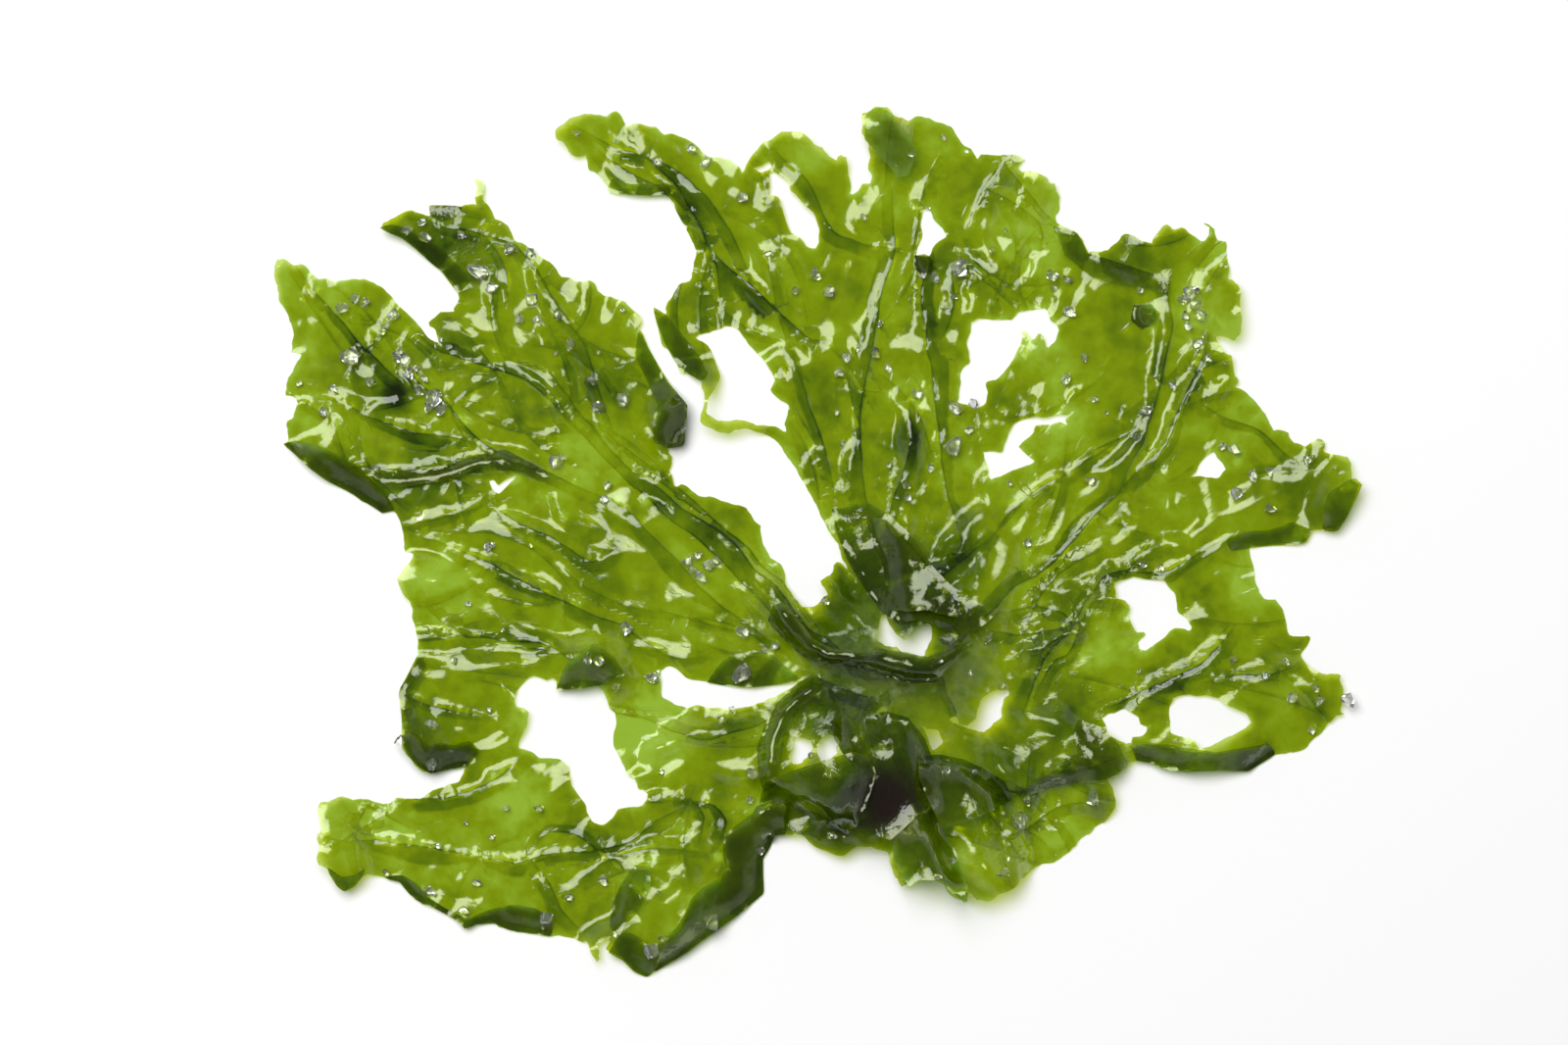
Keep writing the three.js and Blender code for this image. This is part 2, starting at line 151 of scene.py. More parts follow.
lowerRight = [
    (1350, 540), (1337, 541), (1327, 542), (1331, 552), (1322, 554), (1298, 555), (1290, 557),
    (1277, 557), (1276, 561), (1278, 576), (1280, 587), (1284, 606), (1291, 611), (1301, 612),
    (1308, 622), (1311, 636), (1314, 647), (1321, 650), (1329, 649), (1334, 647), (1338, 650),
    (1331, 660), (1326, 667), (1329, 674), (1339, 683), (1346, 688), (1367, 688), (1366, 694),
    (1370, 700), (1370, 707), (1368, 715), (1366, 726), (1370, 728), (1362, 730), (1354, 738),
    (1348, 747), (1341, 753), (1333, 763), (1312, 767), (1300, 770), (1291, 774), (1279, 781),
    (1273, 785), (1245, 784), (1225, 784), (1210, 785), (1193, 784), (1185, 782), (1175, 776),
    (1166, 774), (1156, 775), (1150, 779), (1141, 789), (1129, 792),
]
lowerMargin = [
    (1135, 804), (1138, 818), (1135, 827), (1129, 835), (1122, 840), (1114, 847), (1099, 858),
    (1089, 869), (1080, 876), (1075, 879), (1059, 883), (1049, 891), (1041, 897), (1034, 904),
    (1022, 909), (1009, 917), (1004, 918), (999, 917), (992, 912), (987, 908), (985, 920),
    (976, 914), (968, 908), (963, 903), (961, 896), (955, 894), (945, 895), (936, 896), (930, 900),
    (926, 904), (920, 898), (916, 893), (912, 885), (909, 874), (908, 869), (900, 866), (890, 861),
    (880, 860), (871, 863), (865, 868), (860, 873), (855, 872), (849, 870), (842, 865), (833, 862),
    (827, 858), (819, 854), (815, 850), (800, 848), (796, 848), (790, 850), (784, 864), (779, 871),
    (777, 875), (777, 891), (778, 910),
]
lowestLobe = [
    (771, 916), (758, 927), (742, 939), (729, 947), (715, 958), (702, 968), (685, 979), (673, 987),
    (665, 991), (660, 995.6), (654, 994), (648, 990), (642, 984), (637, 978), (633, 973), (623, 970),
    (618, 967), (621, 962), (624, 959), (616, 957), (609, 962), (613, 977), (610, 980), (607, 976),
    (602, 965), (598, 958), (594, 961), (585, 957), (569, 954), (558, 953), (547, 952), (534, 950),
    (520, 947), (510, 945), (505, 940), (501, 937), (495, 939), (485, 941), (476, 946), (466, 937),
    (455, 930), (443, 924), (431, 920), (424, 916), (418, 910), (412, 902), (408, 898), (403, 897),
    (393, 894), (385, 893), (374, 891), (370, 895), (362, 902), (353, 907), (347, 903), (344, 900),
    (341, 893), (337, 885), (332, 882), (327, 881), (326, 875), (327, 870), (329, 864), (327, 858),
    (326, 852), (329, 847), (329, 843), (327, 835), (324, 828), (327, 821), (330, 818), (338, 817),
    (340, 814), (349, 812), (355, 813), (360, 816), (370, 817), (385, 818), (391, 821), (399, 821),
    (405, 816), (420, 816), (430, 815), (439, 809), (451, 803), (462, 801), (470, 799), (471, 795),
    (473, 791), (474, 781),
]
leftMargin = [
    (462, 783), (451, 785), (441, 787), (433, 785), (429, 782), (422, 775), (416, 769), (410, 760),
    (410, 755), (415, 751), (411, 740), (411, 723), (407, 709), (410, 701), (419, 686), (428, 671),
    (428, 655), (425, 639), (421, 631), (422, 623), (419, 613), (411, 601), (406, 590), (410, 585),
    (418, 575), (421, 563), (413, 560), (412, 543), (408, 529), (403, 521), (391, 522), (374, 511),
    (356, 500), (336, 490), (318, 477), (301, 461), (292, 455), (291, 453), (296, 449), (295, 443),
    (293, 433), (294, 429), (300, 427), (300, 420), (304, 410), (300, 405), (291, 402), (293, 397),
    (292, 390), (295, 386), (300, 380), (302, 370), (308, 361), (296, 360), (298, 351), (300, 342),
    (297, 330), (294, 320), (286, 310), (284, 307), (285, 300), (283, 290), (281, 280), (282, 271),
]
margin = (
    leftFinger + secondFinger + lobeGap + upperFinger + upperMargin + rightMargin + lowerRight
    + lowerMargin + lowestLobe + leftMargin
)

tears = {
    "leftTear": [
        (526, 709), (529, 701), (538, 692), (545, 689), (558, 694), (564, 691), (569, 694),
        (570, 702), (574, 703), (588, 702), (610, 698), (616, 705), (620, 713), (621, 722),
        (628, 728), (629, 740), (626, 750), (626, 760), (629, 766), (633, 773), (636, 780),
        (640, 789), (648, 794), (650, 799), (651, 805), (656, 805), (661, 810), (659, 818),
        (654, 823), (638, 825), (631, 827), (623, 837), (617, 841), (612, 842), (604, 839),
        (599, 831), (597, 820), (590, 812), (583, 800), (580, 791), (580, 782), (574, 776),
        (569, 774), (550, 773), (544, 767), (536, 764), (529, 763), (532, 751), (538, 740),
        (540, 727), (535, 722), (526, 721),
    ],
    "crescentTear": [
        (674, 684), (681, 678), (688, 679), (696, 686), (701, 691), (723, 695), (750, 699),
        (771, 699), (800, 696), (814, 693), (811, 700), (800, 707), (781, 716), (761, 723),
        (742, 724), (723, 722), (713, 719), (701, 723), (688, 719), (675, 711), (674, 700),
    ],
    "ribbonTear": [
        (711, 344), (715, 341), (727, 337), (735, 336), (739, 332), (751, 333), (761, 345),
        (771, 358), (781, 368), (788, 380), (792, 387), (790, 392), (787, 398), (793, 405),
        (798, 409), (806, 414), (804, 424), (801, 432), (803, 441), (793, 435), (781, 435),
        (772, 435), (767, 431), (751, 429), (742, 431), (730, 428), (721, 422), (722, 412),
        (727, 401), (736, 385), (731, 372), (726, 358), (723, 352),
    ],
    "topTear": [
        (785, 178), (789, 175), (799, 181), (807, 187), (807, 194), (814, 200), (823, 210),
        (831, 219), (837, 233), (836, 248), (831, 254), (823, 251), (815, 242), (808, 239),
        (804, 233), (801, 223), (797, 211), (794, 203), (783, 199), (784, 190),
    ],
    "upperTear": [
        (941, 215), (947, 213), (950, 218), (953, 225), (961, 233), (966, 241), (957, 247),
        (951, 254), (949, 261), (935, 261), (936, 252), (940, 242), (938, 227),
    ],
    "windowTear": [
        (990, 328), (997, 325), (1032, 325), (1040, 317), (1051, 316), (1065, 313), (1069, 317),
        (1072, 328), (1078, 331), (1080, 337), (1077, 349), (1070, 355), (1067, 353), (1065, 344),
        (1060, 340), (1056, 347), (1052, 347), (1047, 339), (1043, 339), (1042, 351), (1039, 357),
        (1034, 368), (1026, 380), (1016, 387), (1007, 389), (1006, 392), (1008, 401), (1005, 412),
        (997, 416), (990, 414), (977, 410), (977, 401), (980, 389), (980, 380), (984, 374),
        (990, 370), (988, 358), (985, 349), (990, 339),
    ],
    "slitTear": [
        (1003, 461), (1011, 460), (1022, 461), (1024, 453), (1028, 443), (1034, 433), (1040, 428),
        (1055, 424), (1063, 425), (1080, 423), (1089, 423), (1096, 419), (1091, 425), (1086, 428),
        (1089, 434), (1082, 430), (1072, 433), (1057, 435), (1054, 443), (1047, 450), (1040, 456),
        (1045, 460), (1051, 467), (1056, 471), (1041, 478), (1032, 482), (1022, 487), (1011, 490),
        (1007, 485), (1008, 478), (1004, 468),
    ],
    "rightTear": [
        (1215, 486), (1221, 480), (1223, 474), (1229, 466), (1235, 462), (1239, 461), (1243, 467),
        (1248, 472), (1250, 478), (1246, 483), (1243, 487), (1233, 487), (1223, 485),
    ],
    "wideTear": [
        (1136, 594), (1142, 591), (1156, 587), (1170, 589), (1189, 591), (1194, 600), (1199, 605),
        (1201, 623), (1210, 630), (1216, 640), (1214, 644), (1208, 641), (1197, 641), (1187, 651),
        (1170, 664), (1161, 663), (1160, 655), (1169, 648), (1168, 645), (1160, 646), (1154, 636),
        (1149, 627), (1152, 623), (1152, 617), (1147, 612), (1136, 610), (1137, 603),
    ],
    "smallTear": [
        (1124, 732), (1131, 727), (1147, 722), (1154, 726), (1161, 731), (1163, 738), (1170, 741),
        (1170, 746), (1165, 751), (1156, 752), (1155, 759), (1148, 760), (1139, 754), (1130, 748),
        (1129, 740),
    ],
    "rimTear": [
        (1196, 711), (1202, 709), (1211, 708), (1220, 710), (1233, 709), (1243, 711), (1251, 718),
        (1264, 724), (1271, 727), (1276, 737), (1271, 741), (1262, 746), (1248, 753), (1235, 760),
        (1223, 763), (1220, 759), (1217, 754), (1206, 751), (1195, 747), (1193, 738), (1193, 728),
    ],
    "stemTear": [
        (1000, 713), (1007, 707), (1016, 702), (1030, 702), (1031, 708), (1025, 711), (1023, 719),
        (1022, 730), (1014, 738), (1004, 747), (990, 744), (975, 738), (969, 736), (968, 731),
        (973, 729), (978, 731), (980, 736), (988, 738), (994, 728), (998, 721),
    ],
    "heartTear": [
        (900, 627), (907, 627), (908, 636), (913, 645), (922, 652), (932, 641), (941, 636),
        (947, 635), (950, 640), (950, 650), (946, 663), (941, 671), (926, 667), (915, 661),
        (901, 658), (894, 653), (893, 648), (896, 638),
    ],
    "leafyTear": [
        (846, 747), (854, 750), (857, 755), (853, 761), (854, 768), (847, 773), (838, 775),
        (833, 765), (835, 755), (841, 749),
    ],
    "foldTear": [
        (809, 751), (819, 751), (829, 754), (830, 761), (826, 771), (819, 778), (808, 780),
        (805, 771), (809, 761),
    ],
    "stemNick": [(893, 725), (902, 718), (904, 725), (903, 730)],
    "lowNick": [
        (940, 738), (945, 742), (957, 742), (959, 750), (962, 756), (957, 761), (950, 764),
        (946, 757), (944, 748),
    ],
    "leftNick": [(424, 527), (430, 524), (432, 517), (434, 526), (431, 531), (425, 531)],
    "hookTear": [
        (499, 491), (504, 489), (508, 495), (518, 487), (528, 483), (529, 485), (512, 502),
        (508, 504), (502, 499),
    ],
    "pinTear": [(984, 153), (988, 153), (989, 157), (984, 157)],
    "archTear": [(768, 172), (779, 168), (785, 166), (788, 170), (776, 177)],
}

# where the blade stands clear of the table: pixel, reach in pixels, height in millimetres
swells = [
    (930, 700, 105, 6.5), (850, 800, 75, 3.6), (965, 815, 65, 3.6), (845, 590, 35, 2.5),
    (740, 415, 50, 2.6), (695, 425, 35, 2.8), (1262, 300, 50, 4.6), (1375, 505, 40, 4.0),
    (1362, 705, 42, 3.2), (1230, 780, 60, 3.4), (1135, 800, 42, 3.4), (1005, 905, 50, 3.6),
    (925, 890, 32, 3.0), (700, 955, 60, 3.4), (610, 965, 30, 2.4), (345, 885, 45, 3.2),
    (330, 820, 35, 2.2), (430, 770, 42, 2.8), (410, 585, 35, 2.2), (310, 470, 42, 2.8),
    (285, 275, 38, 2.4), (395, 232, 38, 2.8), (487, 195, 28, 3.0), (585, 130, 42, 2.8),
    (810, 140, 35, 2.6), (900, 125, 42, 3.2), (1065, 190, 38, 2.8), (1045, 350, 28, 3.0),
    (620, 680, 35, 2.2), (530, 725, 32, 2.2),
]

# creases that show from a step away: height, half width of the foot, sideways lean, route in pixels
creases = [
    (1.4, 1.3, 0.5, [(1018, 160), (1045, 195), (1068, 222), (1082, 236)]),
    (1.5, 1.3, -0.5, [(951, 172), (940, 205), (932, 232), (928, 262)]),
    (1.3, 1.2, 0.5, [(610, 150), (640, 172), (680, 196), (705, 232)]),
    (1.3, 1.2, 0.5, [(1098, 470), (1120, 455), (1150, 442), (1172, 420)]),
    (1.3, 1.2, -0.5, [(985, 250), (1000, 275), (1030, 290), (1075, 292)]),
    (1.6, 1.4, 0.5, [(825, 687), (862, 703), (893, 712), (917, 694)]),
    (1.6, 1.4, -0.5, [(880, 737), (905, 755), (917, 786), (936, 810)]),
    (1.6, 1.4, 0.5, [(960, 687), (966, 712), (976, 737), (997, 743)]),
    (1.4, 1.3, 0.5, [(917, 730), (930, 755), (936, 773)]),
    (1.5, 1.4, 0.5, [(1025, 626), (1062, 620), (1092, 626), (1095, 644), (1065, 663), (1058, 687)]),
    (1.5, 1.3, -0.5, [(1120, 601), (1101, 641), (1092, 669), (1074, 678), (1058, 706)]),
    (1.4, 1.3, 0.5, [(1025, 816), (1031, 835), (1052, 847), (1068, 862)]),
    (1.3, 1.2, 0.5, [(690, 813), (708, 816), (718, 835), (716, 858)]),
    (3.0, 2.6, 0.9, [
        (568, 388), (600, 430), (640, 475), (700, 520), (740, 545), (790, 600), (830, 640),
        (870, 670), (930, 690),
    ]),
    (1.8, 1.5, -0.5, [
        (560, 400), (600, 450), (650, 500), (700, 540), (750, 585), (800, 640), (850, 675),
    ]),
    (1.6, 1.4, 0.5, [(620, 440), (680, 490), (730, 530), (770, 565), (800, 600), (840, 640)]),
    (2.0, 1.8, 0.7, [(300, 271), (320, 295), (343, 320), (370, 350), (400, 380), (415, 392)]),
    (2.0, 1.8, 0.7, [
        (405, 361), (425, 385), (450, 408), (470, 430), (500, 455), (545, 473), (620, 508),
    ]),
    (1.8, 1.6, -0.6, [(431, 345), (450, 360), (500, 375), (540, 392), (563, 412), (600, 450)]),
    (1.4, 1.3, 0.4, [(335, 405), (380, 425), (420, 440), (460, 445), (500, 455)]),
    (1.4, 1.3, 0.4, [(300, 404), (325, 420), (340, 430), (350, 450), (355, 475)]),
    (2.2, 1.7, 0.8, [(345, 475), (380, 478), (420, 480), (455, 476), (480, 470), (505, 457)]),
    (1.8, 1.6, 0.6, [
        (432, 548), (460, 560), (500, 575), (560, 605), (600, 622), (640, 640), (690, 680),
    ]),
    (1.6, 1.4, 0.6, [(505, 520), (550, 545), (600, 570), (620, 570), (625, 550)]),
    (1.6, 1.4, 0.5, [
        (440, 225), (480, 236), (525, 250), (550, 280), (572, 315), (600, 360), (640, 475),
    ]),
    (1.6, 1.4, -0.5, [(430, 620), (470, 650), (510, 655), (560, 660), (620, 690)]),
    (1.6, 1.5, 0.5, [(620, 508), (660, 540), (700, 580), (740, 620), (790, 655)]),
    (2.0, 1.7, 0.6, [(715, 245), (745, 272), (780, 300), (805, 325), (830, 345), (850, 345)]),
    (1.8, 1.5, -0.6, [(650, 150), (672, 170), (690, 190), (715, 230), (730, 270), (735, 320)]),
    (1.4, 1.3, 0.4, [(590, 130), (630, 150), (680, 165), (720, 200), (750, 240), (770, 290)]),
    (2.0, 1.7, 0.7, [
        (912, 200), (912, 255), (900, 300), (895, 350), (885, 390), (878, 425), (880, 480),
        (890, 530),
    ]),
    (1.8, 1.5, -0.6, [
        (945, 190), (944, 250), (940, 300), (943, 360), (950, 372), (955, 430), (965, 500),
        (985, 560),
    ]),
    (1.6, 1.4, 0.5, [(790, 150), (820, 180), (850, 240), (880, 250), (912, 255)]),
    (1.5, 1.3, 0.5, [(1005, 195), (1030, 205), (1050, 220), (1065, 235), (1060, 265)]),
    (2.2, 1.8, 0.8, [(1190, 295), (1200, 330), (1193, 370), (1175, 420), (1160, 460), (1145, 498)]),
    (2.2, 1.7, -0.8, [(1232, 340), (1225, 368), (1210, 400), (1198, 425), (1185, 450), (1145, 500)]),
    (2.2, 1.8, 0.8, [
        (1145, 500), (1110, 535), (1080, 570), (1060, 588), (1035, 603), (1008, 628), (985, 652),
        (966, 676),
    ]),
    (1.6, 1.4, 0.5, [(1220, 412), (1245, 425), (1290, 440), (1320, 470)]),
    (1.8, 1.6, 0.7, [(1110, 605), (1125, 585), (1150, 578), (1190, 585), (1220, 565), (1255, 545)]),
    (1.8, 1.6, 0.6, [(1110, 605), (1095, 645), (1070, 670), (1055, 700), (1045, 730)]),
    (1.8, 1.5, 0.6, [(1130, 720), (1160, 705), (1200, 690), (1230, 670), (1260, 640)]),
    (1.6, 1.4, -0.5, [(1320, 680), (1290, 690), (1260, 690), (1230, 695)]),
    (2.2, 1.8, 0.8, [(1155, 765), (1120, 778), (1090, 790), (1060, 802), (1035, 808), (1000, 800)]),
    (1.8, 1.6, 0.5, [
        (330, 850), (360, 858), (400, 860), (460, 868), (520, 878), (580, 870), (640, 860),
        (700, 820),
    ]),
    (1.5, 1.3, 0.5, [(400, 820), (440, 815), (480, 808), (510, 795), (540, 770)]),
    (1.5, 1.4, -0.5, [(545, 868), (560, 850), (590, 850), (620, 870), (650, 900)]),
    (1.6, 1.4, 0.5, [(545, 880), (560, 900), (575, 930), (590, 945)]),
    (1.6, 1.4, -0.5, [(640, 725), (680, 745), (720, 755), (760, 748), (800, 730), (840, 705)]),
    (1.6, 1.4, 0.5, [(680, 818), (710, 815), (730, 822), (745, 840), (735, 860)]),
    (1.4, 1.3, 0.5, [(1000, 640), (1040, 650), (1080, 640), (1120, 630)]),
    (1.4, 1.3, 0.4, [(1000, 560), (1030, 520), (1070, 490), (1110, 470), (1150, 440)]),
    (1.4, 1.3, 0.4, [(900, 560), (915, 500), (930, 450), (925, 400)]),
    (1.4, 1.3, -0.4, [(850, 500), (840, 450), (825, 400), (800, 350)]),
    (1.6, 1.4, 0.5, [(1000, 850), (1030, 850), (1060, 835), (1090, 820), (1120, 815)]),
    (1.5, 1.3, 0.5, [(985, 800), (1010, 830), (1040, 870), (1060, 880)]),
]

# film folded back over the blade: sheets on top, how many of its first points are the fold, edge
folds = {
    "fingerBand": (1, 9, [
        (390, 233), (401, 238), (411, 242), (424, 252), (433, 260), (443, 269), (451, 275),
        (457, 283), (468, 298), (481, 287), (470, 272), (455, 257), (438, 246), (420, 236),
        (402, 229),
    ]),
    "fingerTab": (1, 3, [
        (439, 211), (454, 211), (470, 212), (466, 221), (452, 224), (440, 221),
    ]),
    "leftCorner": (2, 7, [
        (291, 453), (301, 461), (318, 477), (336, 490), (356, 500), (374, 511), (391, 522),
        (403, 520), (396, 505), (384, 492), (370, 480), (352, 468), (335, 458), (318, 452),
        (303, 449),
    ]),
    "curl": (1, 7, [
        (370, 478), (395, 482), (420, 482), (455, 476), (490, 465), (515, 460), (548, 477),
        (560, 487), (535, 482), (512, 474), (492, 478), (468, 486), (440, 493), (412, 499),
        (388, 497),
    ]),
    "lobeEdge": (1, 8, [
        (653, 338), (661, 357), (669, 371), (681, 391), (700, 414), (699, 428), (697, 453),
        (683, 456), (668, 452), (671, 430), (672, 412), (663, 395), (655, 378), (648, 360),
    ]),
    "lobePatch": (3, 4, [
        (690, 404), (700, 414), (699, 428), (697, 453), (682, 455), (668, 450), (667, 430),
        (672, 413),
    ]),
    "lowCorner": (1, 8, [
        (428, 668), (418, 688), (409, 704), (410, 718), (413, 738), (412, 754), (420, 767),
        (436, 784), (437, 768), (433, 752), (429, 735), (421, 716), (424, 702), (431, 690),
        (434, 677),
    ]),
    "lowCornerFold": (2, 6, [
        (412, 752), (418, 768), (430, 781), (441, 787), (457, 783), (474, 780), (488, 766),
        (480, 757), (464, 761), (449, 757), (438, 759), (428, 748), (420, 744),
    ]),
    "tearFlap": (2, 4, [
        (569, 702), (584, 701), (599, 699), (612, 697), (625, 691), (639, 688), (629, 673),
        (617, 663), (606, 656), (592, 664), (580, 675), (573, 688),
    ]),
    "crescentFlap": (1, 5, [
        (723, 695), (750, 699), (771, 699), (800, 696), (814, 693), (806, 682), (790, 668),
        (768, 661), (745, 668), (728, 682),
    ]),
    "greatFold": (1, 6, [
        (850, 520), (856, 545), (866, 570), (884, 600), (900, 622), (917, 634), (936, 631),
        (951, 636), (963, 644), (979, 648), (1000, 641), (1014, 629), (1001, 617), (985, 607),
        (966, 594), (951, 577), (936, 556), (922, 538), (905, 524), (885, 514),
    ]),
    "greatFoldInner": (1, 5, [
        (884, 528), (893, 555), (902, 574), (905, 600), (907, 622), (925, 624), (945, 622),
        (960, 626), (978, 630), (968, 606), (950, 586), (934, 566), (918, 545), (903, 531),
    ]),
    "pleats": (2, 9, [
        (785, 632), (804, 654), (822, 669), (844, 677), (862, 676), (880, 679), (905, 688),
        (930, 694), (954, 693), (976, 672), (990, 655), (976, 656), (960, 664), (945, 671),
        (923, 665), (899, 661), (874, 663), (850, 661), (828, 649), (813, 630), (800, 614),
        (788, 616),
    ]),
    "curvedFold": (1, 7, [
        (828, 690), (813, 700), (794, 718), (782, 740), (774, 761), (775, 786), (780, 806),
        (792, 800), (797, 773), (799, 755), (807, 738), (818, 722), (832, 710), (838, 698),
    ]),
    "shortRoll": (1, 4, [
        (848, 737), (853, 752), (862, 768), (874, 782), (887, 782), (891, 773), (885, 760),
        (874, 743), (862, 728),
    ]),
    "heapMiddle": (1, 6, [
        (884, 734), (903, 726), (925, 732), (941, 752), (950, 775), (954, 800), (951, 818),
        (940, 829), (923, 841), (908, 855), (890, 849), (876, 846), (872, 832), (884, 806),
        (890, 780), (882, 755),
    ]),
    "heapRight": (1, 6, [
        (936, 771), (957, 770), (982, 775), (1003, 785), (1024, 798), (1030, 815), (1010, 827),
        (986, 836), (961, 842), (953, 826), (944, 808), (936, 790),
    ]),
    "heapLip": (1, 5, [
        (768, 835), (773, 823), (797, 816), (831, 830), (862, 847), (872, 842), (868, 852),
        (857, 856), (837, 853), (822, 849), (807, 850), (791, 850), (774, 852),
    ]),
    "heapLeft": (1, 7, [
        (776, 819), (787, 814), (798, 817), (814, 824), (832, 833), (850, 844), (863, 849),
        (874, 840), (882, 823), (888, 804), (893, 786), (889, 772), (875, 765), (860, 768),
        (843, 773), (824, 778), (800, 788), (781, 797),
    ]),
    "hangingFlap": (2, 4, [
        (945, 821), (954, 834), (964, 856), (975, 878), (986, 902), (985, 919), (973, 910),
        (963, 899), (953, 895), (937, 896), (926, 903), (919, 890), (911, 872), (910, 853),
        (926, 837),
    ]),
    "lowestEdge": (2, 12, [
        (800, 849), (790, 850), (784, 864), (777, 875), (777, 891), (778, 910), (758, 927),
        (742, 939), (715, 958), (702, 968), (685, 979), (667, 990), (672, 962), (692, 945),
        (697, 933), (706, 915), (718, 905), (731, 898), (742, 887), (738, 870), (739, 852),
        (752, 842), (767, 830), (775, 823), (792, 817), (802, 822),
    ]),
    "leafFold": (1, 5, [
        (632, 952), (624, 945), (625, 926), (635, 903), (648, 884), (665, 882), (664, 900),
        (655, 919), (643, 938),
    ]),
    "lowestTip": (1, 4, [
        (623, 970), (637, 978), (648, 990), (660, 995), (672, 985), (668, 970), (650, 955),
        (636, 950), (628, 958),
    ]),
    "stemRim": (1, 5, [
        (1040, 808), (1078, 800), (1100, 796), (1129, 792), (1150, 779), (1140, 758), (1122, 742),
        (1100, 733), (1094, 745), (1100, 762), (1096, 775), (1075, 786), (1052, 800),
    ]),
    "rimFold": (2, 8, [
        (1160, 774), (1175, 777), (1185, 782), (1210, 785), (1245, 784), (1273, 785), (1291, 774),
        (1300, 768), (1294, 757), (1262, 763), (1240, 767), (1212, 764), (1190, 760), (1165, 758),
        (1152, 762),
    ]),
    "rightTip": (1, 4, [
        (1386, 495), (1371, 528), (1362, 541), (1350, 540), (1350, 520), (1353, 504), (1366, 494),
        (1379, 489),
    ]),
    "rightRim": (1, 6, [
        (1337, 541), (1331, 552), (1322, 554), (1298, 555), (1277, 557), (1256, 560), (1250, 551),
        (1268, 543), (1295, 540), (1318, 534),
    ]),
    "upperBand": (1, 5, [
        (1076, 232), (1097, 238), (1110, 260), (1150, 272), (1192, 286), (1190, 299), (1150, 291),
        (1112, 282), (1086, 262),
    ]),
    "lowRim": (2, 11, [
        (395, 895), (409, 898), (418, 910), (431, 920), (443, 924), (467, 937), (476, 946),
        (485, 941), (505, 940), (520, 947), (562, 953), (565, 935), (545, 925), (520, 923),
        (500, 929), (478, 938), (455, 928), (438, 917), (425, 900), (412, 893),
    ]),
    "lowCurl": (1, 5, [
        (337, 885), (341, 893), (347, 903), (353, 907), (362, 902), (372, 892), (374, 884),
        (362, 893), (350, 895),
    ]),
    "fingerScroll": (1, 4, [
        (884, 143), (883, 122), (893, 112), (906, 113), (927, 137), (936, 156), (928, 180), (914, 183),
        (903, 168), (893, 158),
    ]),
    "fingerEdge": (1, 5, [
        (622, 190), (640, 197), (662, 199), (684, 197), (702, 216), (696, 200), (682, 188), (660, 190),
        (640, 188), (626, 181),
    ]),
    "upperClot": (3, 3, [
        (935, 262), (933, 272), (940, 278), (950, 276), (951, 266), (944, 261),
    ]),
    "rightClot": (3, 3, [
        (1158, 312), (1155, 326), (1165, 334), (1177, 330), (1181, 318), (1174, 309),
    ]),
    "ribbonFold": (1, 6, [
        (668, 315), (672, 330), (680, 350), (690, 368), (704, 381), (717, 388), (724, 380),
        (716, 366), (704, 352), (690, 335), (680, 322),
    ]),
}

# paler and darker places in the green, some pale ones a painted highlight: pixel, reach in pixels, amount
paleAndDarkSpots = [
    (290, 288, 24, -0.22), (350, 300, 28, -0.12), (322, 400, 34, -0.14), (436, 596, 46, -0.3),
    (792, 575, 30, -0.18), (655, 745, 46, -0.34), (362, 845, 46, -0.32), (540, 790, 50, -0.24),
    (668, 930, 26, -0.16), (600, 130, 28, -0.12), (820, 152, 22, -0.14), (955, 150, 32, -0.16),
    (1042, 250, 36, -0.14), (1238, 275, 34, -0.16), (1255, 330, 22, -0.2), (1050, 368, 28, -0.24),
    (1078, 446, 28, -0.2), (1118, 640, 32, -0.12), (1010, 882, 36, -0.16), (1082, 842, 32, -0.14),
    (820, 862, 18, -0.14), (1180, 470, 40, -0.08), (600, 470, 60, -0.08), (950, 220, 16, -0.25),
    (665, 877, 6, -0.6), (733, 904, 6, -0.6), (812, 805, 5, -0.6), (527, 487, 6, -0.5),
    (474, 428, 5, -0.5), (632, 508, 6, -0.5), (660, 512, 5, -0.45), (1105, 770, 5, -0.5),
    (1148, 765, 5, -0.45), (560, 410, 5, -0.4), (733, 874, 5, -0.5), (705, 915, 5, -0.4),
    (968, 700, 5, -0.4), (1262, 470, 5, -0.4), (575, 525, 5, -0.4), (405, 402, 15, 0.55),
    (922, 446, 18, 0.4), (470, 275, 44, 0.28), (370, 360, 40, 0.2), (490, 385, 40, 0.24),
    (440, 495, 45, 0.24),
    (1150, 285, 40, 0.16), (1175, 420, 30, 0.12), (840, 400, 40, 0.1), (900, 520, 40, 0.12),
    (870, 660, 60, 0.2), (930, 600, 50, 0.2), (1010, 760, 40, 0.14), (830, 730, 50, 0.2),
    (760, 790, 50, 0.12), (1090, 740, 40, 0.14), (1210, 690, 50, 0.06), (430, 740, 34, 0.2),
    (545, 690, 30, 0.1), (330, 470, 30, 0.16), (690, 220, 30, 0.08), (1340, 510, 34, 0.1),
]

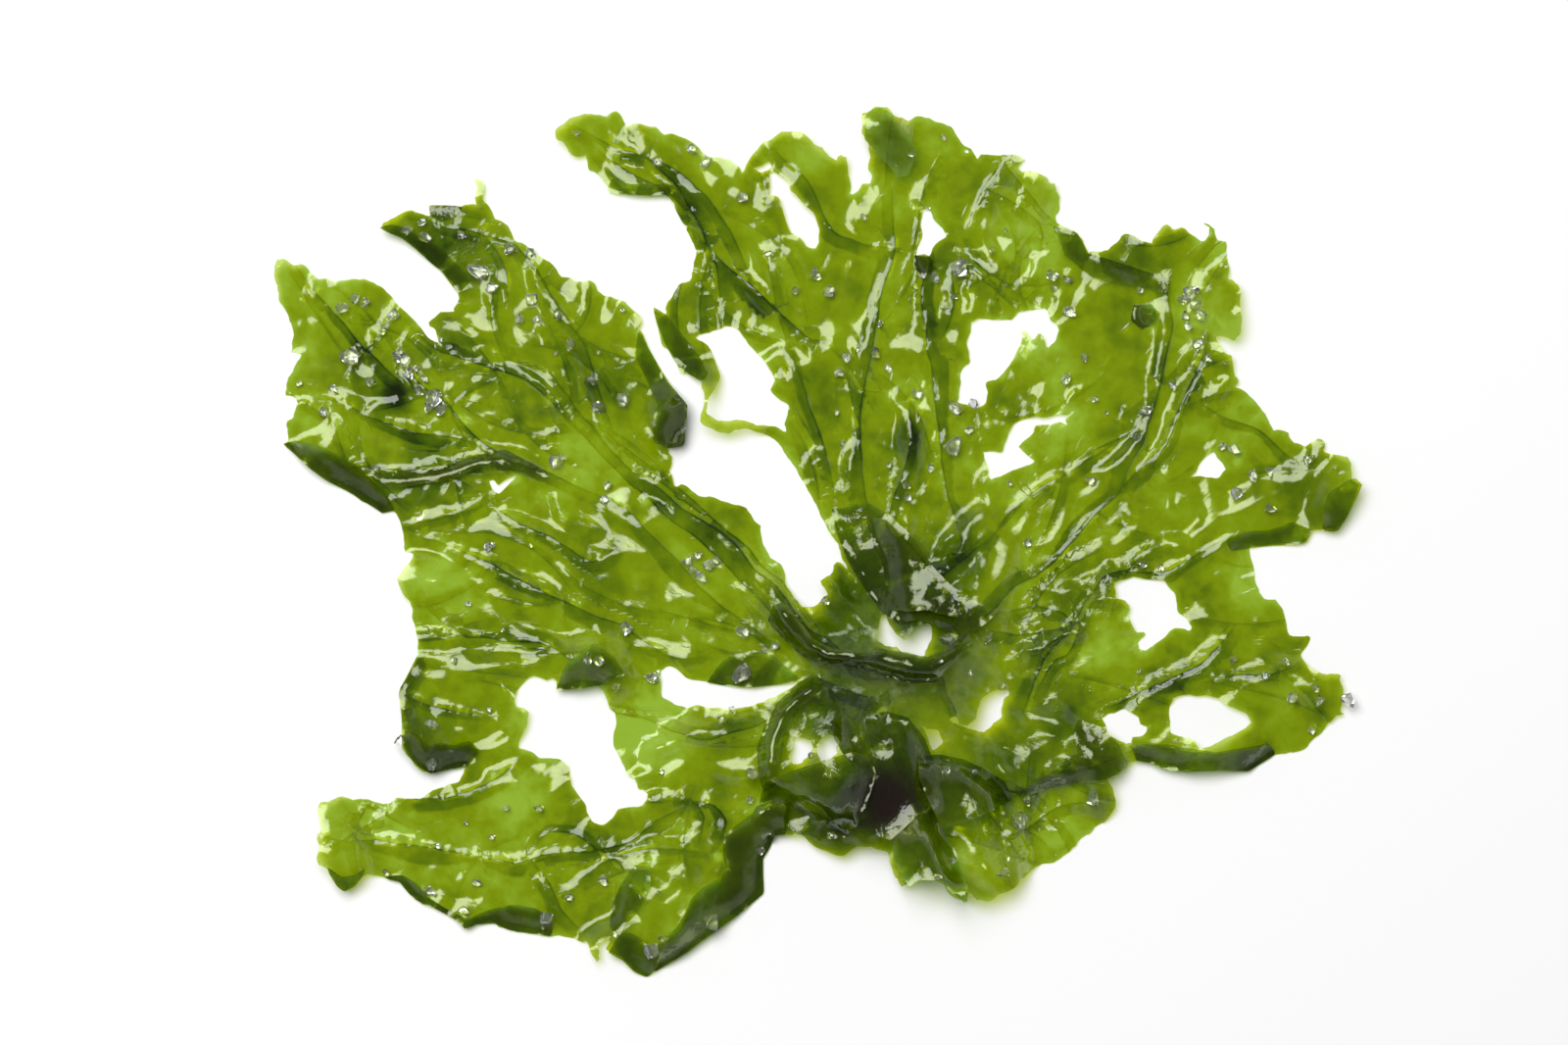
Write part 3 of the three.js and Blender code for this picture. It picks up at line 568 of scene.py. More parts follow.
film = {  # the blade, in millimetres
    "spacing": 0.53,  # between the mesh's points
    "thickness": 0.12,
    "ragged": 0.26,  # how far the torn margin strays
    "waveHeight": 1.5, "wavePitch": 31.0, "contactDepth": 0.75,  # the slow waves of the solid
    "facets": [(1.0, 8.0, 14.0), (0.62, 4.0, 5.8)],  # height, pitch, length
    "crumples": [(0.42, 2.6, 3.9), (0.20, 1.4, 2.0)],  # the same, in patches only
    "ridges": [(0.8, 11.0, 36.0)],
    "growthRound": 0.008,  # spare length across the lines that run to the holdfast
    "growthAlong": 0.004,  # spare length along them
    "growthRim": 0.012,  # more of both at the margin
    "rounds": 150, "step": 0.3, "bend": 0.045, "lift": 0.0008, "hold": 0.003,  # of the settling
    "fanReach": 45, "fanHeart": 8,  # the fan's typical radius, and the one inside which it is even
    "calmReach": 15, "leastRelief": 0.45,  # the relief fades to this share at the holdfast
    "unevenPitch": 18, "patchPitch": 10, "growthPitch": 16,  # how fast these change over the blade
    "tautReach": 1.7,  # crumples fade within this of a crease
    "rimReach": 2.2,  # how far in the margin's spare length goes
    "seed": 11,
}
holdfast = toPlane([(925, 690)])[0]  # where the lines of the fan meet


def smoothNoise(points, pitch, seed, octaves=2):  # value noise, -1 to 1
    total = np.zeros(len(points))
    weight = 1.0
    span = 0.0
    for octave in range(octaves):
        rng = np.random.default_rng(seed + 17 * octave)
        lattice = rng.uniform(-1, 1, (256, 256))
        place = points / (pitch / 2 ** octave) + 97.3 + 13.1 * octave
        cell = np.floor(place).astype(int)
        share = place - cell
        share = share * share * (3 - 2 * share)
        corner = [lattice[(cell[:, 0] + i) % 256, (cell[:, 1] + j) % 256] for i in (0, 1) for j in (0, 1)]
        low = corner[0] * (1 - share[:, 1]) + corner[1] * share[:, 1]
        high = corner[2] * (1 - share[:, 1]) + corner[3] * share[:, 1]
        total += weight * (low * (1 - share[:, 0]) + high * share[:, 0])
        span += weight
        weight *= 0.5
    return total / span


def fanPlace(points, pitch, length, seed):  # places on a fan that opens from the holdfast
    away = points - holdfast
    turn = np.arctan2(away[:, 0], away[:, 1])
    typicalReach, heart = film["fanReach"], film["fanHeart"]
    reach = (typicalReach + heart) * np.log(1 + np.hypot(*away.T) / heart)
    bends = [smoothNoise(points, 1.6 * pitch, seed + number) for number in (3, 7)]
    fanned = np.column_stack([turn * typicalReach, reach * pitch / length])
    return fanned + 0.4 * pitch * np.column_stack(bends)


def nearCalm(points):  # the fan closes up at the holdfast, so its relief fades there
    return np.clip(np.hypot(*(points - holdfast).T) / film["calmReach"], film["leastRelief"], 1)


def fanRidges(points, pitch, length, seed):  # sharp ridges drawn out towards the holdfast, 0 to 1
    level = smoothNoise(fanPlace(points, pitch, length, seed), pitch, seed, 1)
    return (1 - np.sqrt(level ** 2 + 0.002)) * nearCalm(points)


def flatFacets(place, seed):  # flat facets with creases between them, one to a unit, -1 to 1
    turned = place + (math.sqrt(3) - 1) / 2 * place.sum(axis=1)[:, None] + 71.7
    lattice = np.random.default_rng(seed).uniform(-1, 1, (256, 256))
    cell = np.floor(turned).astype(int)
    share = turned - cell
    i, j = cell.T
    isRight = share[:, 0] > share[:, 1]
    side = np.where(isRight, lattice[(i + 1) % 256, j % 256], lattice[i % 256, (j + 1) % 256])
    most, least = share.max(axis=1), share.min(axis=1)
    level = lattice[i % 256, j % 256] * (1 - most) + side * (most - least)
    return level + lattice[(i + 1) % 256, (j + 1) % 256] * least


def fanFacets(points, pitch, length, seed):  # facets drawn out towards the holdfast
    return flatFacets(fanPlace(points, pitch, length, seed) / pitch, seed) * nearCalm(points)


def evenLoop(points, spacing, closed=True):  # a line walked in even steps
    ends = np.vstack([points, points[:1]]) if closed else np.asarray(points)
    along = np.concatenate([[0], np.cumsum(np.hypot(*np.diff(ends, axis=0).T))])
    count = max(int(round(along[-1] / spacing)), 3)
    stops = np.linspace(0, along[-1], count, endpoint=not closed)
    return np.column_stack([np.interp(stops, along, ends[:, axis]) for axis in (0, 1)])


def outwardOf(loop):  # unit sideways directions along a closed line
    ahead = np.roll(loop, -1, axis=0) - np.roll(loop, 1, axis=0)
    side = np.column_stack([ahead[:, 1], -ahead[:, 0]])
    return side / np.maximum(np.hypot(*side.T), 1e-9)[:, None]


def raggedLoop(points, spacing, stray, seed):  # even steps with a torn edge
    loop = evenLoop(points, spacing)
    wander = smoothNoise(loop, 1.6, seed) + 0.5 * smoothNoise(loop, 0.7, seed + 5)
    return loop + outwardOf(loop) * (stray * wander)[:, None]


def isInside(points, loop):
    x, y = points[:, 0], points[:, 1]
    inside = np.zeros(len(points), dtype=bool)
    before = loop[-1]
    for corner in loop:
        if corner[1] != before[1]:
            spans = (corner[1] > y) != (before[1] > y)
            crossing = (before[0] - corner[0]) * (y - corner[1]) / (before[1] - corner[1]) + corner[0]
            inside ^= spans & (x < crossing)
        before = corner
    return inside


def isOnFilm(points, outline, holes):
    inside = isInside(points, outline)
    for hole in holes:
        inside &= ~isInside(points, hole)
    return inside


def lengthAlong(points, way):  # written out, so that every run rounds alike
    return points[..., 0] * way[0] + points[..., 1] * way[1]


def distanceToLine(points, line):
    nearest = np.full(len(points), 1e9)
    for a, b in zip(line[:-1], line[1:]):
        along = b - a
        share = np.clip(lengthAlong(points - a, along) / max(lengthAlong(along, along), 1e-12), 0, 1)
        nearest = np.minimum(nearest, np.hypot(*(points - a - share[:, None] * along).T))
    return nearest


def nearestDistance(points, others):
    tree = KDTree(len(others))
    for i, (x, y) in enumerate(others.tolist()):
        tree.insert((x, y, 0), i)
    tree.balance()
    return np.array([tree.find((x, y, 0))[2] for x, y in points.tolist()])


def rowsAlong(lines, outline, holes):  # points in three rows along every crease, none too close together
    gap = crease["rows"]
    kept = np.empty((0, 2))
    for line in lines:
        line = evenLoop(line, gap, closed=False)
        ahead = np.gradient(line, axis=0)
        side = np.column_stack([ahead[:, 1], -ahead[:, 0]]) / np.hypot(*ahead.T)[:, None]
        rows = np.vstack([line, line + gap * side, line - gap * side])
        rows = rows[isInside(rows, outline)]
        if len(kept) and len(rows):
            rows = rows[nearestDistance(rows, kept) > 0.7 * gap]
        kept = np.vstack([kept, rows])
    for hole in holes:
        kept = kept[~isInside(kept, hole)]
    return kept[nearestDistance(kept, np.vstack([outline] + holes)) > 0.6 * gap]


def meshOutline(outline, holes, spacing, seed, rows=None):  # points and triangles inside a margin
    loops = [outline] + holes
    low, high = outline.min(axis=0), outline.max(axis=0)
    xs = np.arange(low[0], high[0], spacing)
    ys = np.arange(low[1], high[1], spacing * math.sqrt(3) / 2)
    gridX, gridY = np.meshgrid(xs, ys)
    gridX[1::2] += spacing / 2
    inner = np.column_stack([gridX.ravel(), gridY.ravel()])
    inner = inner[isOnFilm(inner, outline, holes)]
    if len(inner):
        inner = inner[nearestDistance(inner, np.vstack(loops)) > 0.55 * spacing]
    rng = np.random.default_rng(seed)
    inner = inner + rng.uniform(-0.12, 0.12, inner.shape) * spacing
    if rows is not None:
        inner = np.vstack([rows, inner[nearestDistance(inner, rows) > 0.75 * spacing]])
    edges = []
    start = 0
    for loop in loops:
        count = len(loop)
        edges += [(start + i, start + (i + 1) % count) for i in range(count)]
        start += count
    everything = np.vstack(loops + [inner]).tolist()
    found = delaunay_2d_cdt([Vector(point) for point in everything], edges, [], 1, 1e-6)
    places = np.array([tuple(point) for point in found[0]])
    faces = np.array(found[2], dtype=int)
    centres = places[faces].mean(axis=1)
    keep = np.ones(len(faces), dtype=bool)
    for hole in holes:
        near = np.flatnonzero(
            ((centres > hole.min(axis=0)) & (centres < hole.max(axis=0))).all(axis=1)
        )
        keep[near[isInside(centres[near], hole)]] = False
    faces = faces[keep]
    used = np.unique(faces)
    number = np.zeros(len(places), dtype=int)
    number[used] = np.arange(len(used))
    return places[used], number[faces]


def edgesOf(faces):
    pairs = np.vstack([faces[:, [0, 1]], faces[:, [1, 2]], faces[:, [2, 0]]])
    ordered = np.sort(pairs, axis=1)
    unique, first, counts = np.unique(ordered, axis=0, return_index=True, return_counts=True)
    return unique, pairs[first[counts == 1]]  # all edges, and the rim's as their faces run


def restHeight(points):  # the slow relief that the solid has too
    turn = 2 * math.pi / film["wavePitch"]
    x, y = points[:, 0], points[:, 1]
    height = film["waveHeight"] * np.sin(turn * (x + 0.35 * y)) * np.sin(turn * (y - 0.3 * x))
    for px, py, reach, lift in swells:
        away = np.hypot(*(points - toPlane([(px, py)])[0]).T) / (reach * pixelSize)
        height += lift * np.exp(-away ** 2)
    return np.maximum(height - film["contactDepth"], 0)


crease = {  # the relief of every crease, as shares of the solid's, and its doubled film
    "rise": 0.34, "lean": 0.6, "gentle": 1.4, "steep": 0.3, "band": 1.5,
    "wander": 0.6,  # how far a crease strays from its route, in millimetres
    "rows": 0.4,  # between the mesh's rows along a crease
    "shortOnes": 110, "shortHeight": 1.0, "shortWidth": 1.0, "shortLength": 13.0,
    "clearOf": 20,  # no short one starts nearer to the holdfast
    "area": [(290, 980), (1360, 130)],  # pixels between which the short ones fall
    "seed": 31,
}


def creaseLines():  # height, half width, lean and line of the creases, the short ones last
    found = []
    for height, width, lean, route in creases:
        line = evenLoop(toPlane(route), 1.5, closed=False)
        stray = np.column_stack([smoothNoise(line, 5, 3), smoothNoise(line, 5, 8)])
        found.append((height, width, lean, line + crease["wander"] * stray))
    rng = np.random.default_rng(crease["seed"])
    low, high = toPlane(crease["area"])
    outline = toPlane(margin)
    while len(found) < len(creases) + crease["shortOnes"]:
        middle = rng.uniform(low, high)
        away = math.hypot(*(middle - holdfast))
        turn = math.atan2(*(middle - holdfast)) + rng.normal(0, 0.45)
        half = crease["shortLength"] * rng.uniform(0.3, 0.75)
        if away < crease["clearOf"] or not isInside(middle[None, :], outline)[0]:
            continue
        along = np.array([math.sin(turn), math.cos(turn)])
        across = np.array([along[1], -along[0]])
        steps = np.linspace(-1, 1, 12)[:, None]
        bow = rng.uniform(-0.35, 0.35) * half
        line = middle + half * steps * along + bow * (steps ** 2 - 0.5) * across
        size = rng.uniform(0.5, 1.1)
        lean = rng.choice([-0.5, 0.5])
        line = evenLoop(line, 1.0, closed=False)
        found.append((crease["shortHeight"] * size, crease["shortWidth"] * size, lean, line))
    return found


def creaseShape(points, lines):  # lean across and up, height, distance, distance past the band, strength
    shape = np.zeros((len(points), 6))
    shape[:, 3:5] = 9
    nearest = np.full(len(points), 9.0)
    for height, width, lean, line in lines:
        fade = np.sin(np.linspace(0.06, 0.97, len(line)) * math.pi) ** 0.6
        fade = fade * (0.85 + 0.4 * smoothNoise(line, 6, 14))
        band = crease["band"] * width * (0.7 + 0.6 * smoothNoise(line, 9, 4))
        for i, (a, b) in enumerate(zip(line[:-1], line[1:])):
            near = np.flatnonzero(np.hypot(*(points - (a + b) / 2).T) < 2.4 * width + 1.5)
            along = b - a
            length = math.hypot(*along)
            side = np.array([along[1], -along[0]]) / length
            share = np.clip(lengthAlong(points[near] - a, along) / length ** 2, 0, 1)
            offset = points[near] - a - share[:, None] * along
            doubled = np.sign(lengthAlong(offset, side)) * math.copysign(1, lean)
            reach = np.hypot(*offset.T)
            strength = fade[i] * (1 - share) + fade[i + 1] * share
            span = np.where(doubled > 0, crease["gentle"], crease["steep"]) * width
            rise = crease["rise"] * height * strength * np.exp(-(reach / span) ** 1.4)
            better = rise > shape[near, 2]
            index = near[better]
            shape[index, 2] = rise[better]
            shape[index, :2] = side * (crease["lean"] * lean * rise / height)[better][:, None]
            closer = reach < nearest[near]
            index = near[closer]
            nearest[index] = reach[closer]
            shape[index, 3] = (doubled * reach)[closer]
            shape[index, 4] = (doubled * reach - band[i])[closer]
            within = np.clip((1.3 * band[i] + 0.6 - reach) / 0.5, 0, 1)
            shape[index, 5] = (strength * within * min(0.15 + height / 2.2, 1.1))[closer]
    return shape


def settle(start, edges, restLengths, base, values):  # spare length buckles up off the table
    first, second = edges.T
    count = len(start)
    degree = np.bincount(edges.ravel(), minlength=count)
    place = start.copy()
    speed = np.zeros_like(place)

    def gather(weights):
        return np.bincount(first, weights, count) - np.bincount(second, weights, count)

    lowest = values["thickness"] / 2  # the film lies on the table
    for _ in range(values["rounds"]):
        span = place[second] - place[first]
        length = np.sqrt((span * span).sum(axis=1))
        pull = span * ((length - restLengths) / length)[:, None]
        force = np.column_stack([gather(pull[:, axis]) for axis in range(3)])
        curve = gather(span[:, 2]) / degree
        force[:, 2] -= values["bend"] * gather(curve[second] - curve[first]) / degree
        force[:, :2] -= values["hold"] * (place[:, :2] - start[:, :2])
        force[:, 2] -= values["lift"] * (place[:, 2] - base)
        speed = np.clip(0.94 * speed + values["step"] * force, -0.08, 0.08)
        place += speed
        sunk = place[:, 2] < lowest
        place[sunk, 2] = lowest
        speed[sunk] *= 0.5
    return place


def growBlade():
    spacing, ragged, seed = film["spacing"], film["ragged"], film["seed"]
    outline = raggedLoop(toPlane(margin), spacing, ragged, seed - 10)
    holes = [
        raggedLoop(toPlane(hole), spacing * 0.9, ragged * 0.7, seed + 9 + number)
        for number, hole in enumerate(tears.values())
    ]
    lines = creaseLines()
    rows = rowsAlong([line for *_, line in lines], outline, holes)
    flat, faces = meshOutline(outline, holes, spacing, seed, rows)
    edges, rim = edgesOf(faces)
    rimAway = nearestDistance(flat, flat[np.unique(rim)])
    base = restHeight(flat)
    shape = creaseShape(flat, lines)
    wrinkles = np.zeros(len(flat))
    for number, (height, pitch, length) in enumerate(film["facets"]):
        wrinkles += height * fanFacets(flat, pitch, length, seed + 50 + number)
    for number, (height, pitch, length) in enumerate(film["ridges"]):
        wrinkles += height * (fanRidges(flat, pitch, length, seed + 60 + number) - 0.6)
    wrinkles *= 0.8 + 0.5 * smoothNoise(flat, film["unevenPitch"], seed + 70)
    patches = np.clip(0.5 + 1.5 * smoothNoise(flat, film["patchPitch"], seed + 72), 0.05, 1.1)
    atCrease = np.clip(shape[:, 5], 0, 1) * np.exp(-(shape[:, 3] / film["tautReach"]) ** 2)
    patches *= 1 - 0.8 * atCrease  # taut there
    for number, (height, pitch, length) in enumerate(film["crumples"]):
        wrinkles += height * patches * fanFacets(flat, pitch, length, seed + 80 + number)
    start = np.column_stack([flat + shape[:, :2], np.maximum(base + shape[:, 2] + wrinkles, 0.07)])
    outward = (flat[edges[:, 0]] + flat[edges[:, 1]]) / 2 - holdfast
    middle = outward + holdfast
    outward /= np.maximum(np.hypot(*outward.T), 1e-6)[:, None]
    run = flat[edges[:, 1]] - flat[edges[:, 0]]
    flatLength = np.hypot(*run.T)
    along = ((run * outward).sum(axis=1) / flatLength) ** 2
    rimShare = np.exp(-((rimAway[edges[:, 0]] / film["rimReach"]) ** 2))
    growth = film["growthAlong"] * along + film["growthRound"] * (1 - along)
    growth = growth * (1 + 0.7 * smoothNoise(middle, film["growthPitch"], seed + 33))
    growth = growth + film["growthRim"] * rimShare
    creased = np.linalg.norm(start[edges[:, 1]] - start[edges[:, 0]], axis=1)
    restLengths = np.maximum(flatLength * (1 + growth), creased)
    place = settle(start, edges, restLengths, start[:, 2], film)
    marks = {"rim": rimAway, "crease": creaseShade(place, faces, edges), "thick": deeperGreen(flat)}
    marks["across"], marks["past"], marks["line"] = shape[:, 3:].T
    return place, faces, marks


def deeperGreen(points):  # paler places are below 0, darker ones above; some pale ones are a painted highlight
    total = np.zeros(len(points))
    for x, y, reach, amount in paleAndDarkSpots:
        away = (points - toPlane([(x, y)])[0]) / (reach * pixelSize)
        away = away + 0.35 * np.column_stack([smoothNoise(points, 6, 15), smoothNoise(points, 6, 19)])
        total += amount * np.exp(-(away ** 2).sum(axis=1))
    return total


def pointNormals(place, faces):
    corners = place[faces]
    faceNormals = np.cross(corners[:, 1] - corners[:, 0], corners[:, 2] - corners[:, 0])
    normals = np.zeros_like(place)
    for column in range(3):
        for axis in range(3):
            normals[:, axis] += np.bincount(faces[:, column], faceNormals[:, axis], len(place))
    return normals / np.maximum(np.linalg.norm(normals, axis=1), 1e-12)[:, None]


def creaseShade(place, faces, edges):  # 0 on flat film, 1 where it stands steep or is pinched
    normals = pointNormals(place, faces)
    steep = 1 - np.abs(normals[:, 2])
    first, second = edges.T
    turned = 1 - (normals[first] * normals[second]).sum(axis=1)
    count = len(place)
    degree = np.bincount(edges.ravel(), minlength=count)
    pinch = (np.bincount(first, turned, count) + np.bincount(second, turned, count)) / degree
    shade = np.clip(1.5 * steep + 3 * pinch, 0, 1.2)
    for _ in range(3):
        around = np.bincount(first, shade[second], count) + np.bincount(second, shade[first], count)
        shade = 0.5 * shade + 0.5 * around / degree
    return np.clip(shade, 0, 1)


def sheetArrays(place, faces, thickness):  # a thin closed sheet from one layer of points
    normals = pointNormals(place, faces)
    count = len(place)
    points = np.vstack([place + normals * thickness / 2, place - normals * thickness / 2])
    rim = edgesOf(faces)[1]
    walls = np.column_stack([rim[:, 1], rim[:, 0], rim[:, 0] + count, rim[:, 1] + count])
    sharp = np.vstack([rim, rim + count])
    return points, faces.tolist() + (faces[:, ::-1] + count).tolist() + walls.tolist(), sharp


def makeSheets(name, sheets, isFanned):  # every sheet: points, triangles, thickness, values
    points, polygons, sharpPairs, values = [], [], [], {}
    start = 0
    for place, faces, thickness, columns in sheets:
        corners, shapes, sharp = sheetArrays(place, faces, thickness)
        points.append(corners)
        polygons += [[index + start for index in shape] for shape in shapes]
        sharpPairs.append(sharp + start)
        for key, column in columns.items():
            values.setdefault(key, []).append(np.tile(column, 2))
        start += len(corners)
    mesh = bpy.data.meshes.new(name)
    mesh.from_pydata((np.vstack(points) * toMetres).tolist(), [], polygons)
    mesh.shade_smooth()
    ends = np.empty(len(mesh.edges) * 2, dtype=np.int32)
    mesh.edges.foreach_get("vertices", ends)
    ends = np.sort(ends.reshape(-1, 2).astype(np.int64), axis=1)
    pairs = np.sort(np.vstack(sharpPairs).astype(np.int64), axis=1)
    isSharp = np.isin(ends[:, 0] * start + ends[:, 1], pairs[:, 0] * start + pairs[:, 1])
    edgeMarks = mesh.attributes.new("sharp_edge", "BOOLEAN", "EDGE")
    edgeMarks.data.foreach_set("value", isSharp)
    corners = np.empty(len(mesh.loops), dtype=np.int32)
    mesh.loops.foreach_get("vertex_index", corners)
    flat = np.vstack(points)[:, :2]
    fan = 0.1 * (fanPlace(flat, 20, 20 / 0.45, 5) if isFanned else flat)  # in centimetres
    mesh.uv_layers.new(name="fan").data.foreach_set("uv", fan[corners].ravel().astype(np.float32))
    for key, columns in values.items():
        layer = mesh.attributes.new(key, "FLOAT", "POINT")
        layer.data.foreach_set("value", np.concatenate(columns).astype(np.float32))
    return newObject(name, mesh)


fold = {  # film folded back over the blade, in millimetres
    "gap": 0.2,  # between one sheet and the next
    "round": 2.0,  # how far from the fold the gap has opened
    "bulge": 0.22,  # how far the fold stands out past the margin
    "facetHeight": 0.62, "facetPitch": 4.2,  # halved twice
    "lift": 0.22,  # of the free edge
    "ragged": 0.14,
    "rimReach": 1.6, "rollReach": 1.3,  # how far in that lift goes, and a roll's rounding
    "strays": [(2.2, 4.5, 7), (1.0, 1.8, 0), (0.5, 0.8, 3)],  # of the torn edge: share, pitch, seed
    "tautRounds": 70,  # how far a sheet bridges the hollows below it
    "sag": 0.22, "sagFrom": 5.5,  # the heap sinks by this share above this height
    "tilts": {  # slopes that some of them stand at: rightwards and upwards in the view
        "heapMiddle": (0.05, -0.22), "heapRight": (0.28, -0.17), "heapLeft": (-0.03, -0.15),
        "hangingFlap": (0.20, -0.09), "greatFoldInner": (-0.06, 0.04),
    },
    "tones": {  # below 0 paler, above 0 darker
        "fingerScroll": -0.3, "hangingFlap": -0.3, "fingerEdge": -0.1, "leafFold": -0.1, "curl": -0.06,
    },
    "rolls": {  # how round some of them stand
        "pleats": 1.3, "curvedFold": 1.1, "shortRoll": 0.9, "crescentFlap": 0.4, "curl": 0.7,
    },
}


def heightsOn(tree, points, fallback=0.0):  # the top of what lies under each point
    heights = np.empty(len(points))
    down = Vector((0, 0, -1))
    for i, (x, y) in enumerate(points.tolist()):
        hit = tree.ray_cast(Vector((x, y, 60)), down)[0]
        if hit is None:
            hit = tree.find_nearest(Vector((x, y, 1)))[0]
        heights[i] = hit.z if hit is not None else fallback
    return heights


def foldSheet(name, edge, hinge, level, tree, seed):
    roll, tone = fold["rolls"].get(name, 0), fold["tones"].get(name, 0)
    tilt = fold["tilts"].get(name, (0, 0))
    hingeLine = toPlane(edge[:hinge])
    loop = evenLoop(toPlane(edge), film["spacing"])
    hingeAway = distanceToLine(loop, hingeLine)
    outward = outwardOf(loop)
    if not isInside((loop[:1] + outward[:1] * -0.05), loop)[0]:
        outward = -outward
    strays = fold["strays"]
    wander = sum(share * smoothNoise(loop, pitch, seed + step) for share, pitch, step in strays)
    free = np.clip(hingeAway / 1.5, 0, 1)
    shift = fold["bulge"] * (1 - free) + free * (fold["ragged"] * wander - 0.25 * (level - 1))
    loop = loop + outward * shift[:, None]
    flat, faces = meshOutline(loop, [], film["spacing"], seed)
    rim = np.unique(edgesOf(faces)[1])
    rimPoints = flat[rim]
    freePoints = rimPoints[distanceToLine(rimPoints, hingeLine) > 0.8]
    rimAway = nearestDistance(flat, freePoints) if len(freePoints) else np.full(len(flat), 9.0)
    hingeAway = distanceToLine(flat, hingeLine)
    opened = 1 - np.exp(-(hingeAway / fold["round"]) ** 2)
    below = heightsOn(tree, flat)
    edges = edgesOf(faces)[0]
    first, second = edges.T
    degree = np.bincount(edges.ravel(), minlength=len(flat))
    drawn = below.copy()
    count = len(flat)
    for _ in range(fold["tautRounds"]):
        around = np.bincount(first, drawn[second], count) + np.bincount(second, drawn[first], count)
        drawn = np.maximum(below, np.where(hingeAway < 0.6, drawn, around / degree))
    bends = np.column_stack([smoothNoise(flat, 7, seed + 1), smoothNoise(flat, 7, seed + 2)])
    facets = sum(
        size * (0.5 + 0.5 * flatFacets(flat / (fold["facetPitch"] * size) + 0.4 * bends, seed + step))
        for step, size in enumerate((1.0, 0.5, 0.25))
    )
    atRim = np.exp(-(rimAway / fold["rimReach"]) ** 2)
    lifted = fold["lift"] * atRim * (0.5 + 0.8 * smoothNoise(flat, 6, seed + 5))
    fromEdge = np.minimum(rimAway, hingeAway)
    rounded = roll * np.sqrt(1 - np.exp(-(fromEdge / fold["rollReach"]) ** 2))
    slope = lengthAlong(flat, tilt)
    opening = fold["gap"] + fold["facetHeight"] * facets + lifted + slope - slope.min()
    height = drawn + film["thickness"] + opened * opening + rounded
    place = np.column_stack([flat, height])
    marks = {"rim": rimAway, "crease": creaseShade(place, faces, edges)}
    for key, value in (("thick", tone), ("across", 9), ("past", 9), ("line", 0)):
        marks[key] = np.full(count, float(value))
    return place, faces, marks


def makeFolds(place, faces):
    sheets = []
    for number, (name, (layers, hinge, edge)) in enumerate(folds.items()):
        tree = BVHTree.FromPolygons(place.tolist(), faces.tolist())
        for level in range(1, layers + 1):
            seed = 200 + 10 * number + level
            top, triangles, marks = foldSheet(name, edge, hinge, level, tree, seed)
            sheets.append((top, triangles, film["thickness"], marks))
            faces = np.vstack([faces, triangles + len(place)])
            place = np.vstack([place, top])
            if level < layers:
                tree = BVHTree.FromPolygons(place.tolist(), faces.tolist())
    return sheets, place, faces


place, faces, marks = growBlade()
print("blade settled:", len(place), "points, highest at", round(place[:, 2].max(), 2), "mm")
foldList, allPlace, allFaces = makeFolds(place, faces)
for layer in [place, allPlace] + [top for top, *_ in foldList]:
    layer[:, 2] -= fold["sag"] * np.maximum(layer[:, 2] - fold["sagFrom"], 0)
print("folds laid:", len(foldList), "sheets, highest at", round(allPlace[:, 2].max(), 2), "mm")
blade = makeSheets("blade", [(place, faces, film["thickness"], marks)], True)
foldPiece = makeSheets("folds", foldList, False)
print("film meshed:", len(blade.data.polygons), "and", len(foldPiece.data.polygons), "faces")


look = {  # of the wet film: colours are linear
    "pale": (0.88, 0.98, 0.42), "plain": (0.825, 0.895, 0.018), "deep": (0.585, 0.70, 0.008),
    "darkest": (0.24, 0.33, 0.02),  # what one face of the film lets through
    "bodyPale": (0.30, 0.42, 0.11), "bodyPlain": (0.13, 0.19, 0.001), "bodyDeep": (0.03, 0.05, 0.003),
    "stem": (0.06, 0.03, 0.03),
    "clear": 0.74,  # the share of each face that is see-through
    "roughness": 0.10, "coatRoughness": 0.06, "bend": 2.3,
    "bladeDepth": 0.34, "foldDepth": 0.46,  # how deep the green starts
    # creaseDepth: painted shade, how much deeper the green is where the film stands steep or is pinched
    "patchiness": 1.1, "creaseDepth": 0.24,
    "linePlus": 0.4, "doubledPlus": 0.3,  # how much deeper it is on a crease's line, a painted shade, and on doubled film
    "stemPlus": 0.25, "stemReach": 0.0065, "stemPlace": (905, 815),  # reach in metres, place in pixels
    "waveHeight": 0.11, "waveScale": 5, "pimpleHeight": 0.03, "pimpleScale": 6, "crestHeight": 0.08,
}


def node(tree, kind, place, **values):
    made = tree.nodes.new(kind)
    made.location = place
    for key, value in values.items():
        setattr(made, key, value)
    return made


def blend(tree, place, kind, first, second, clamp=False):  # a Math node on two sockets or numbers
    maths = node(tree, "ShaderNodeMath", place, operation=kind, use_clamp=clamp)
    for socket, value in zip(maths.inputs, (first, second)):
        if isinstance(value, (int, float)):
            socket.default_value = value
        else:
            tree.links.new(value, socket)
    return maths.outputs[0]


def spread(tree, place, value, low, high, atLow, atHigh):  # a Map Range node, clamped
    ranged = node(tree, "ShaderNodeMapRange", place)
    for name, number in (("From Min", low), ("From Max", high), ("To Min", atLow), ("To Max", atHigh)):
        ranged.inputs[name].default_value = number
    tree.links.new(value, ranged.inputs["Value"])
    return ranged.outputs["Result"]


def attributeOf(tree, place, name):
    return node(tree, "ShaderNodeAttribute", place, attribute_name=name).outputs["Fac"]


def noiseOf(tree, place, vector, scale, detail, roughness=0.5, dimensions="3D"):
    made = node(tree, "ShaderNodeTexNoise", place, noise_dimensions=dimensions)
    made.inputs["Scale"].default_value = scale
    made.inputs["Detail"].default_value = detail
    made.inputs["Roughness"].default_value = roughness
    tree.links.new(vector, made.inputs["Vector"])
    return made.outputs["Fac"]


